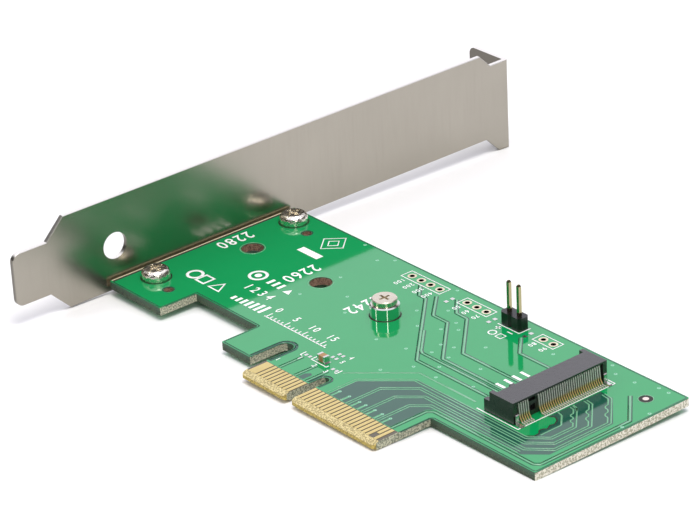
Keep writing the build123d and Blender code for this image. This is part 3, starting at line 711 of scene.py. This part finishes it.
@dataclass
class CardFace:
    """The laminate with its copper pattern under the mask. Lengths and places in millimetres."""

    finishes: Finishes
    ribbons: RibbonMaker
    domes: DotMaker
    track_width: float = 0.42
    gap_width: float = 0.86
    pair_width: float = 0.25
    pair_spacing: float = 0.58
    bump_height: float = 0.42
    bump_steps: tuple[Point, ...] = (
        (0.22, 0), (0.29, 1), (0.37, 1), (0.44, 0), (0.54, 0), (0.61, 1), (0.69, 1), (0.76, 0),
    )
    margin_width: float = 0.26
    layer_thickness: float = 0.008
    corner: float = 0.5
    tracks: tuple[Path, ...] = (
        ((-15.3, 43.6), (-12.4, 40.7), (-10.6, 40.7), (5.9, 24.2), (24.0, 24.2)),
        ((-1.6, 32.4), (3.8, 27.0), (4.6, 26.6), (24.0, 26.6)),
        ((-9.8, 42.6), (-5.0, 37.6), (-4.6, 37.3), (-0.9, 37.3), (8.7, 27.7), (24.0, 27.7)),
        ((-6.2, 44.3), (-2.4, 40.8), (0.5, 40.7), (9.7, 31.5), (24.0, 31.5)),
        ((12.5, 42.6), (16.6, 38.5), (24.0, 38.5)),
        ((20.7, 5.7), (20.7, 13.4), (21.6, 14.3), (46.0, 14.3), (46.9, 15.2), (46.9, 35.3), (40.8, 41.4)),
        ((-9.1, 11.0), (-9.1, 5.8)),
        ((-4.9, 10.6), (-4.9, 5.8)),
        ((-1.9, 10.6), (-1.9, 5.8)),
    )
    faint_tracks: tuple[Path, ...] = (((24.0, 21.5), (9.6, 21.5), (0.3, 12.2)),)
    pairs: tuple[Path, ...] = (
        ((3.95, 5.6), (3.95, 12.2), (11.1, 19.35), (38.9, 19.35), (41.9, 22.2), (41.9, 27.4), (37.6, 31.7),
         (36.6, 31.8)),
        ((9.1, 5.6), (9.1, 13.2), (13.9, 18.0), (40.0, 18.0), (43.5, 21.4), (43.5, 29.4), (38.2, 34.7),
         (36.7, 34.9)),
        ((13.1, 5.6), (13.1, 13.0), (16.7, 16.6), (41.4, 16.6), (45.0, 20.0), (45.0, 32.4), (39.1, 38.3),
         (37.2, 38.6)),
        ((17.1, 5.6), (17.1, 12.7), (19.7, 15.3), (41.5, 15.3)),
    )
    inner_tracks: tuple[Path, ...] = (
        ((36.4, 28.9), (37.6, 28.6), (39.9, 26.3), (39.9, 21.6)),
        ((36.4, 32.4), (37.4, 32.2), (38.2, 31.4)),
    )
    bare_zone: Path = (
        (4.35, 5.7), (4.35, 12.0), (12.0, 19.7), (38.4, 19.7), (39.4, 20.7), (39.3, 21.9), (38.6, 22.5),
        (38.7, 23.3), (39.2, 23.9), (38.6, 24.9), (38.9, 25.8), (38.2, 27.0), (37.2, 27.5), (36.3, 26.8),
        (36.3, 38.9), (39.3, 38.8), (45.6, 32.7), (45.6, 18.3), (42.2, 14.95), (21.3, 14.95), (20.2, 13.85),
        (20.2, 5.7),
    )
    small_zones: tuple[Path, ...] = (
        ((-4.2, 5.8), (-2.8, 5.8), (-2.8, 7.9), (-3.5, 8.2), (-4.2, 7.4)),
    )
    stubs: tuple[float, ...] = (5.0, 7.5, 10.2, 11.8, 14.2, 16.1, 18.2)
    stub_top: float = 7.5
    vias: tuple[Point, ...] = (
        (-8.2, 36.5), (2.6, 36.8), (10.8, 35.8), (4.5, 31.0), (6.9, 31.9), (9.0, 28.8), (1.3, 25.7), (5.5, 28.0),
        (10.4, 25.4), (7.2, 22.3), (12.8, 22.5), (4.0, 17.5), (-3.7, 32.7), (0.2, 34.8), (-5.0, 24.3),
        (-16.7, 26.9), (-21.2, 31.2), (-26.1, 46.8), (-28.5, 44.5), (-28.0, 35.3), (-28.1, 25.8), (0.3, 38.3),
        (-8.9, 46.8), (16.0, 29.9), (19.8, 24.8), (33.6, 45.0), (38.0, 45.2), (42.3, 46.7), (44.6, 46.7),
        (31.0, 46.8), (47.4, 39.4), (47.4, 33.0), (-35.0, 47.1), (24.4, 47.0), (20.9, 42.4), (-4.2, 40.4),
    )
    edge_margin: tuple[Path, ...] = (
        ((-41.95, 12.85), (-41.95, 4.6), (-56.4, 4.6), (-56.4, 47.75), (47.95, 47.75), (47.95, 12.9),
         (22.9, 12.9), (22.9, 5.7)),
        ((-15.2, 4.65), (-23.45, 4.65), (-23.45, 12.9), (-41.95, 12.9)),
    )
    back_light_strip: tuple[Path, ...] = (((-56.93, 4.75), (-56.93, 47.6)),)
    light_strip_width: float = 0.3
    back_shade: tuple[Path, ...] = (((-56.55, 4.75), (-56.55, 47.6)),)
    shade_width: float = 0.44
    slot_ring_size: Point = (0.7, 1.85)
    key_ring_size: Point = (0.5, 1.2)
    pilot_ring_size: Point = (1.1, 0.25)
    foot_shade_size: Point = (2.86, 0.2)
    seat_rim_size: Point = (2.35, 0.2)
    broad_width: float = 0.5
    inner_width: float = 0.3
    fine_corner: float = 0.3
    border_width: float = 0.26
    stub_width: float = 0.55
    stub_foot: float = 5.6
    cap_size: tuple[float, float, float] = (0.34, 0.2, 0.05)
    dimple_size: tuple[float, float, float] = (0.1, 0.1, 0.055)
    mark_place: Point = (43.4, 42.5)
    mark_clearance: float = 1.25
    mark_rim_size: Point = (1.32, 0.16)
    slot_ring: Path = ((-12.2, 6.0), (-12.2, 13.1), (-16.0, 13.1), (-16.0, 4.9))
    key_ring: Path = ((-1.3, 5.9), (-1.3, 9.6), (1.3, 9.6), (1.3, 5.9))
    pilot_holes: tuple[Point, ...] = ((-46.6, 9.99), (-46.6, 42.6))
    fastener_feet: tuple[Point, ...] = ((-52.2, 11.39), (-52.2, 44.0), (-10.93, 31.4))
    seat_holes: tuple[Point, ...] = ((-48.93, 31.4), (-28.93, 31.4))

    def level(self, layer: Layer) -> float:
        """Middle height of a ribbon that lies on one layer."""
        return layer.value - self.layer_thickness / 2

    def lay(self, name: str, paths: tuple[Path, ...], layer: Layer, material: Material,
            width: float, corner: float, closed: bool = False) -> None:
        """Lays ribbons on one layer of the card's face.

        Args:
            name: Name of the piece.
            paths: Paths that the ribbons follow.
            layer: Layer they lie on.
            material: Their finish.
            width: Their width.
            corner: Radius of their bends.
            closed: Whether the paths are loops.
        """
        self.ribbons.make(name, wire(paths, self.level(layer), closed), material, "laminate",
                          Width=width, Thickness=self.layer_thickness, Corner=corner)

    def beside(self, path: Path, offset: float) -> Path:
        """Path that runs beside another at a constant distance.

        Args:
            path: Path to follow.
            offset: Distance to its left.

        Returns:
            The shifted path, mitred at its bends.
        """
        points = [Vector(p) for p in path]
        runs = [(b - a).normalized() for a, b in zip(points, points[1:])]
        sides = [Vector((-run.y, run.x)) for run in runs]
        moved = [points[0] + sides[0] * offset]
        for point, before, after in zip(points[1:], sides, sides[1:]):
            mitre = (before + after).normalized()
            moved.append(point + mitre * (offset / mitre.dot(before)))
        moved.append(points[-1] + sides[-1] * offset)
        return tuple((p.x, p.y) for p in moved)

    def bumped(self, path: Path) -> Path:
        """Path whose last long run carries small bumps to its left, which match two tracks in length.

        Args:
            path: Path that ends in a long run and a short one.

        Returns:
            The path with its bumps.
        """
        start, end = Vector(path[-3]), Vector(path[-2])
        run = end - start
        side = Vector((-run.y, run.x)).normalized() * self.bump_height
        bumps = (start + run * share + side * step for share, step in self.bump_steps)
        return path[:-2] + tuple((p.x, p.y) for p in bumps) + path[-2:]

    def build(self) -> None:
        """Dresses the card and lays every layer of its copper pattern."""
        look = self.finishes
        dress("card", look.card)
        zones = plates((self.bare_zone, *self.small_zones), Layer.BARE.value)
        add_piece("bare_laminate_zones", zones, look.mask_on_laminate)
        self.lay("card_edge_margin", self.edge_margin, Layer.BARE, look.mask_in_gap, self.margin_width, 0.5)
        # A pale strip and a dark strip along the back edge: painted light and painted shade standing in for the
        # card's back edge as the bracket mirrors it.
        self.lay("card_back_painted_light", self.back_light_strip, Layer.GAP, look.painted_light_strip, self.light_strip_width, 0.0)
        self.lay("card_back_shade", self.back_shade, Layer.GAP, look.epoxy_and_painted_shade, self.shade_width, 0.0)
        self.lay("slot_clearance", (self.slot_ring,), Layer.BARE, look.mask_on_laminate, *self.slot_ring_size)
        self.lay("key_clearance", (self.key_ring,), Layer.BARE, look.mask_on_laminate, *self.key_ring_size)
        for name, places, size, sides, layer, material in (
            ("pilot_hole_rings", self.pilot_holes, self.pilot_ring_size, 24, Layer.BARE, look.mask_in_gap),
            # Dark rings round the bracket screws and the standoff: painted shade where they meet the card.
            ("fastener_foot_painted_shade", self.fastener_feet, self.foot_shade_size, 40, Layer.COPPER, look.epoxy_and_painted_shade),
            ("seat_hole_rims", self.seat_holes, self.seat_rim_size, 36, Layer.BARE, look.mask_on_track),
        ):
            rings = tuple(ring_path(place, size[0], sides) for place in places)
            self.lay(name, rings, layer, material, size[1], 0.0, closed=True)
        self.lay("track_gaps", self.tracks, Layer.GAP, look.mask_in_gap, self.gap_width, self.corner)
        self.lay("tracks", self.tracks, Layer.COPPER, look.mask_on_track, self.track_width, self.corner)
        self.lay("broad_track", self.faint_tracks, Layer.COPPER, look.mask_on_track, self.broad_width,
                 self.corner)
        half = self.pair_spacing / 2
        halves = tuple(self.beside(path, -half) for path in self.pairs)
        halves += tuple(self.bumped(self.beside(path, half)) for path in self.pairs[:-1])
        halves += (self.beside(self.pairs[-1], half),)
        self.lay("pair_tracks", halves, Layer.COPPER, look.mask_on_track, self.pair_width, self.fine_corner)
        self.lay("zone_border", (self.bare_zone[3:14],), Layer.GAP, look.epoxy_and_painted_shade, self.border_width,
                 self.fine_corner)
        self.lay("inner_tracks", self.inner_tracks, Layer.COPPER, look.mask_on_track, self.inner_width,
                 self.corner)
        stubs = tuple(((x, self.stub_foot), (x, self.stub_top)) for x in self.stubs)
        self.lay("contact_stubs", stubs, Layer.COPPER, look.mask_on_track, self.stub_width, 0.0)
        caps = self.vias + tuple((x, self.stub_top + 0.1) for x in self.stubs)
        for name, material, size in (("via_caps", look.mask_on_via, self.cap_size),
                                     ("via_dimples", look.mask_in_gap, self.dimple_size)):
            self.domes.make(name, dots(caps, 0.0), material, "laminate",
                            **dict(zip(("Foot", "Crown", "Height"), size)))
        disc = plates((ring_path(self.mark_place, self.mark_clearance),), Layer.COPPER.value)
        add_piece("sighting_clearance", disc, look.epoxy_and_painted_shade)
        radius, width = self.mark_rim_size
        self.lay("sighting_rim", (ring_path(self.mark_place, radius, 32),), Layer.COPPER, look.mask_on_track,
                 width, 0.0, closed=True)
        dress("sighting_mark", look.pale_copper)
        log.info("card face finished")


@dataclass
class PrintedMarks:
    """White printed marks: plain lines, shapes and numbers."""

    finishes: Finishes
    ribbons: RibbonMaker
    stroke: float = 0.28
    bold: float = 0.6
    thickness: float = 0.008
    boxes: tuple[tuple[float, float, float, float], ...] = (
        (-20.6, 43.5, -10.05, 46.2), (-5.35, 43.55, 2.4, 46.15), (14.35, 43.55, 19.6, 46.1),
    )
    lines: tuple[Path, ...] = (
        ((25.7, 20.25), (35.95, 20.2), (35.95, 42.6), (34.2, 42.6)),
        ((5.7, 43.35), (11.2, 43.35), (11.2, 46.1)),
        ((-10.1, 12.6), (-10.1, 11.2), (-9.6, 11.2)),
        ((-7.4, 12.9), (-7.4, 11.45), (-3.3, 11.45), (-3.3, 12.0)),
        ((-0.3, 12.6), (-0.3, 11.2), (-0.8, 11.2)),
        ((6.9, 41.7), (6.9, 42.9)),
        ((6.3, 42.3), (7.5, 42.3)),
        ((9.2, 42.4), (10.5, 42.4)),
        ((-26.0, 15.9), (-8.9, 15.9)),
    )
    frames: tuple[Path, ...] = (
        ((-39.65, 46.4), (-36.9, 43.3), (-39.65, 40.2), (-42.4, 43.3)),
        ((-39.65, 44.7), (-38.4, 43.3), (-39.65, 41.9), (-40.9, 43.3)),
        ring_path((7.5, 40.4), 0.75, 16),
        ((8.9, 39.7), (10.3, 39.7), (10.3, 41.1), (8.9, 41.1)),
    )
    bold_frames: tuple[Path, ...] = (
        ring_path((-48.0, 17.2), 1.45, 28),
        ((-46.2, 15.9), (-43.9, 15.9), (-43.9, 18.5), (-46.2, 18.5)),
        ((-42.4, 15.9), (-39.4, 15.9), (-40.9, 18.6)),
        ring_path((-39.3, 25.1), 1.65, 28),
    )
    shapes: tuple[Path, ...] = (
        ((-42.5, 36.8), (-36.8, 36.8), (-36.8, 38.5), (-42.5, 38.5)),
        ring_path((-39.3, 25.1), 0.7, 18),
        ((-36.0, 24.2), (-35.3, 24.2), (-35.3, 26.1), (-36.0, 26.1)),
        ((-34.5, 24.2), (-33.8, 24.2), (-33.8, 26.1), (-34.5, 26.1)),
        ((-33.0, 24.2), (-32.3, 24.2), (-32.3, 26.1), (-33.0, 26.1)),
        ((-31.1, 24.1), (-29.3, 24.1), (-30.2, 25.7)),
        ((21.7, 28.0), (23.9, 28.0), (23.9, 28.6), (21.7, 28.6)),
        ((21.7, 29.9), (23.9, 29.9), (23.9, 30.5), (21.7, 30.5)),
        ((21.7, 31.8), (23.9, 31.8), (23.9, 32.4), (21.7, 32.4)),
        ((21.7, 33.7), (23.9, 33.7), (23.9, 34.3), (21.7, 34.3)),
    )
    gauge_start: Point = (-35.9, 15.8)
    gauge_pitch: float = 1.3
    gauge_bars: int = 7
    gauge_step: float = 0.28
    rule_start: Point = (-25.6, 15.9)
    rule_length: int = 16
    rule_heights: tuple[float, float] = (0.85, 1.6)
    numbers: tuple[tuple[str, float, float, float, float], ...] = (
        ("22", -55.3, 35.1, 2.9, 2.05), ("80", -55.3, 31.0, 2.9, 2.05),
        ("22", -35.6, 35.1, 2.9, 2.05), ("60", -35.6, 31.0, 2.9, 2.05),
        ("22", -17.9, 35.1, 2.9, 2.05), ("42", -17.9, 31.0, 2.9, 2.05),
    )
    small_numbers: tuple[tuple[str, float, float, float], ...] = (
        ("1", -9.5, 9.9, 1.1), ("2", -5.6, 9.9, 1.1), ("3", -2.5, 9.9, 1.1), ("4", -3.0, 16.1, 1.1),
        ("5", -3.0, 14.1, 1.1), ("1", -11.8, 6.9, 1.0),
        ("0", -26.2, 18.3, 1.7), ("5", -21.2, 18.3, 1.7), ("10", -16.9, 18.3, 1.7), ("15", -11.9, 18.3, 1.7),
        ("1", -37.7, 20.1, 2.1), ("2", -35.7, 20.1, 2.1), ("3", -33.6, 20.1, 2.1), ("4", -31.5, 20.1, 2.1),
    )
    small_advance: float = 0.75
    hole_number_size: Point = (1.05, 0.85)
    digit_rise: float = 0.72
    digit_run: float = 0.62
    across: float = -90.0
    hole_numbers: tuple[tuple[str, float, float], ...] = (
        ("100", -19.5, 42.9), ("200", -17.0, 42.9), ("300", -14.4, 42.9), ("400", -11.9, 42.9),
        ("50", -4.5, 42.9), ("60", -2.0, 42.9), ("70", 0.6, 42.9), ("80", 15.3, 43.0), ("90", 17.9, 43.0),
    )

    def build(self) -> None:
        """Prints every mark."""
        log.info("printing marks")
        corners = tuple(((a, b), (c, b), (c, d), (a, d)) for a, b, c, d in self.boxes)
        level = Layer.INK.value - self.thickness / 2
        for name, paths, closed, width in (
            ("printed_boxes", corners, True, self.stroke),
            ("printed_lines", self.lines, False, self.stroke),
            ("printed_frames", self.frames, True, self.stroke),
            ("printed_rule", self.rule_ticks(), False, self.stroke),
            ("printed_bold_frames", self.bold_frames, True, self.bold),
        ):
            self.ribbons.make(name, wire(paths, level, closed), self.finishes.ink, "laminate",
                              Width=width, Thickness=self.thickness, Corner=0.0)
        shapes = plates(self.shapes + self.gauge(), Layer.INK.value)
        add_piece("printed_shapes", shapes, self.finishes.ink)
        rows = [(text, x, y, height, advance, self.across) for text, x, y, height, advance in self.numbers]
        rows += [(text, x, y, height, height * self.small_advance, 0.0)
                 for text, x, y, height in self.small_numbers]
        rows += [(text, x, y, *self.hole_number_size, self.across) for text, x, y in self.hole_numbers]
        meshes = [self.number(text, (x, y), *sizes) for text, x, y, *sizes in rows]
        joined = bmesh.new()
        for mesh in meshes:
            joined.from_mesh(mesh)
        whole = bpy.data.meshes.new("printed_numbers")
        joined.to_mesh(whole)
        joined.free()
        add_piece("printed_numbers", whole, self.finishes.ink)

    def rule_ticks(self) -> tuple[Path, ...]:
        """Ticks of the millimetre rule, a longer one at every fifth."""
        x, y = self.rule_start
        steps = range(self.rule_length + 1)
        return tuple(((x + i, y), (x + i, y + self.rule_heights[i % 5 == 0])) for i in steps)

    def gauge(self) -> tuple[Path, ...]:
        """Row of upright bars, each a little taller than the last."""
        x, y = self.gauge_start
        corners = ((x + i * self.gauge_pitch, y + 1.3 + i * self.gauge_step) for i in range(self.gauge_bars))
        return tuple(((a, y), (a + 0.7, y), (a + 0.7, b), (a, b)) for a, b in corners)

    def number(self, text: str, place: Point, height: float, advance: float, turn: float) -> Mesh:
        """Makes a plain number as a flat mesh in its place.

        Args:
            text: Its digits.
            place: Lower left corner of the first digit, in millimetres.
            height: Height of a digit.
            advance: Distance from digit to digit.
            turn: Turn about the card's normal, in degrees.

        Returns:
            A thin mesh on the ink layer.
        """
        shape = bmesh.new()
        for i, digit in enumerate(text):
            curve = bpy.data.curves.new("digit", "FONT")
            curve.body = digit
            curve.resolution_u = 3
            curve.offset = 0.012
            carrier = bpy.data.objects.new("digit", curve)
            link(carrier)
            graph = bpy.context.evaluated_depsgraph_get()
            mesh = bpy.data.meshes.new_from_object(carrier.evaluated_get(graph))
            scale = height * MM / self.digit_rise
            slim = min(1.0, advance / (height / self.digit_rise * self.digit_run))
            mesh.transform(Matrix.Diagonal((scale * slim, scale, 1, 1)))
            mesh.transform(Matrix.Translation((i * advance * MM, 0, 0)))
            shape.from_mesh(mesh)
            bpy.data.objects.remove(carrier)
        result = bpy.data.meshes.new("number")
        shape.to_mesh(result)
        shape.free()
        spot = Vector((place[0] * MM, place[1] * MM, Layer.INK.value * MM))
        result.transform(Matrix.Translation(spot) @ Matrix.Rotation(math.radians(turn), 4, "Z"))
        return result


# ---------------------------------------------------------------- fitted parts


@dataclass
class MetalParts:
    """Bracket, screws, standoff, rings, pins and contacts, which keep their CAD shapes."""

    finishes: Finishes

    def build(self) -> None:
        """Dresses every metal node."""
        look = self.finishes
        for node, material in {
            "component_side_contacts": look.hard_gold,
            "solder_side_contacts": look.hard_gold,
            "slot_bracket": look.bracket_nickel,
            "bracket_screws": look.screw_nickel,
            "standoff": look.sleeve_nickel,
            "module_screw": look.wafer_nickel,
            "foot_screw": look.wafer_nickel,
            "plated_holes": look.ring_gold,
            "header_barrels": look.ring_gold,
            "header_pins": look.pin_gold,
            "header_solder": look.tin,
            "socket_upper_contacts": look.spring,
            "socket_lower_contacts": look.spring,
            "socket_hold_downs": look.tin,
            "socket_lands": look.tin,
            "capacitor_ends": look.tin,
            "capacitor_lands": look.tin,
            "spare_lands": look.tin,
        }.items():
            dress(node, material)


@dataclass
class MouldedParts:
    """Socket, header block and capacitor body, which keep their CAD shapes."""

    finishes: Finishes

    def build(self) -> None:
        """Dresses every moulded or fired node."""
        look = self.finishes
        dress("socket_housing", look.socket_plastic)
        dress("header_block", look.header_plastic)
        dress("capacitor_body", look.ceramic)


# ---------------------------------------------------------------- studio


@dataclass
class Studio:
    """White table, soft light and the camera of the photograph."""

    finishes: Finishes
    rest_points: tuple[tuple[float, float, float], ...] = (
        (-51.62, 10.39, -3.0), (-57.72, 101.62, -5.75), (48.02, 12.63, -1.57),
    )
    clearance: float = 0.02
    floor_size: float = 3.0
    camera_place: tuple[float, float, float] = (371.94, -282.54, 257.58)
    azimuth: float = 51.319
    elevation: float = 26.544
    roll: float = -2.987
    lens_pixels: float = 3136.09
    frame_pixels: float = 700.0
    sensor: float = 36.0
    far_side: tuple[float, float, float] = (-0.70, 0.56, 0.447)
    far_span: tuple[float, float] = (0.5, 0.84)
    roof_span: tuple[float, float] = (0.52, 0.8)
    far_tone: str = "#F1F0FB"
    near_tone: str = "#4E4D4A"
    room_strength: float = 1.25
    key_power: float = 4.8
    key_tone: str = "#FFFCF4"
    key_size: float = 0.4
    key_place: tuple[float, float, float] = (0.2, 0.0, 0.95)
    strip_headings: tuple[Point, ...] = ((0.922, -0.386), (-0.386, -0.922))
    strip_reach: float = 1.1
    strip_elevation: float = 28.0
    strip_size: Point = (0.1, 0.5)
    strip_power: float = 1.4

    def build(self) -> None:
        """Sets the table, the lights and the camera."""
        self.floor()
        self.light()
        self.camera()
        bpy.context.scene.view_settings.view_transform = "Standard"
        log.info("studio set")

    def floor(self) -> None:
        """A wide flat table through the three points that the part rests on."""
        a, b, c = (Vector(p) * MM for p in self.rest_points)
        up = (b - a).cross(c - a).normalized()
        up = up if up.z > 0 else -up
        across = Vector((1, 0, 0)) - up * up.x
        across.normalize()
        along = up.cross(across)
        centre = a - up * self.clearance * MM
        half = self.floor_size / 2
        corners = [centre + across * half * i + along * half * j for i, j in ((-1, -1), (1, -1), (1, 1), (-1, 1))]
        mesh = bpy.data.meshes.new("table_top")
        mesh.from_pydata([tuple(corner) for corner in corners], [], [(0, 1, 2, 3)])
        mesh.materials.append(self.finishes.sweep)
        table = bpy.data.objects.new("table_top", mesh)
        link(table)

    def light(self) -> None:
        """A room with a white roof and far wall and a dim near side, one soft lamp overhead and two slim ones."""
        world = bpy.data.worlds.new("studio_room")
        bpy.context.scene.world = world
        world.use_nodes = True
        tree = world.node_tree
        tree.nodes.clear()
        heading = add_node(tree, "ShaderNodeTexCoord").outputs["Generated"]
        depth = add_node(tree, "ShaderNodeVectorMath", {0: heading, 1: self.far_side}, operation="DOT_PRODUCT")
        share = add_node(tree, "ShaderNodeMapRange", {
            "Value": depth.outputs["Value"], "From Min": self.far_span[0], "From Max": self.far_span[1],
        }, interpolation_type="SMOOTHSTEP")
        rise = add_node(tree, "ShaderNodeSeparateXYZ", {"Vector": heading}).outputs["Z"]
        roof = add_node(tree, "ShaderNodeMapRange", {
            "Value": rise, "From Min": self.roof_span[0], "From Max": self.roof_span[1],
        }, interpolation_type="SMOOTHSTEP")
        lit = add_node(tree, "ShaderNodeMath", {0: share.outputs["Result"], 1: roof.outputs["Result"]},
                       operation="MAXIMUM").outputs["Value"]
        tone = add_node(tree, "ShaderNodeMix", {
            0: lit, 6: linear(self.near_tone), 7: linear(self.far_tone)}, data_type="RGBA")
        room = add_node(tree, "ShaderNodeBackground", {"Color": tone.outputs[2], "Strength": self.room_strength})
        add_node(tree, "ShaderNodeOutputWorld", {"Surface": room.outputs["Background"]})
        self.lamp("soft_key", Vector(self.key_place), self.key_power, (self.key_size, self.key_size))
        tilt = math.radians(self.strip_elevation)
        for i, (x, y) in enumerate(self.strip_headings):
            place = Vector((x * math.cos(tilt), y * math.cos(tilt), math.sin(tilt))) * self.strip_reach
            self.lamp(f"slim_strip_{i}", place, self.strip_power, self.strip_size)

    def lamp(self, name: str, place: Vector, power: float, size: Point) -> None:
        """Hangs one soft lamp that faces the card.

        Args:
            name: Name of the lamp.
            place: Its place in metres.
            power: Its power in watts.
            size: Its width and height in metres.
        """
        light = bpy.data.lights.new(name, "AREA")
        light.shape = "RECTANGLE"
        light.energy = power
        light.color = linear(self.key_tone)[:3]
        light.size, light.size_y = size
        holder = bpy.data.objects.new(name, light)
        link(holder)
        holder.location = place
        holder.rotation_euler = (-place).to_track_quat("-Z", "Y").to_euler()

    def camera(self) -> None:
        """The camera at the photograph's place, angle and field of view."""
        az, el, roll = (math.radians(v) for v in (self.azimuth, self.elevation, self.roll))
        forward = Vector((-math.sin(az) * math.cos(el), math.cos(az) * math.cos(el), -math.sin(el)))
        level = Vector((math.cos(az), math.sin(az), 0))
        upright = level.cross(forward)
        right = level * math.cos(roll) + upright * math.sin(roll)
        up = upright * math.cos(roll) - level * math.sin(roll)
        data = bpy.data.cameras.new("view_camera")
        data.sensor_width = self.sensor
        data.lens = self.lens_pixels / self.frame_pixels * self.sensor
        data.clip_start = 0.01
        data.clip_end = 20.0
        holder = bpy.data.objects.new("view_camera", data)
        link(holder)
        turn = Matrix((right, up, -forward)).transposed().to_4x4()
        holder.matrix_world = Matrix.Translation(Vector(self.camera_place) * MM) @ turn
        bpy.context.scene.camera = holder


def main() -> None:
    """Builds the dressed card and its studio."""
    finishes = Finishes()
    ribbons = RibbonMaker()
    domes = DotMaker()
    CardFace(finishes, ribbons, domes).build()
    PrintedMarks(finishes, ribbons).build()
    MetalParts(finishes).build()
    MouldedParts(finishes).build()
    Studio(finishes).build()


if __name__ == "__main__":
    main()
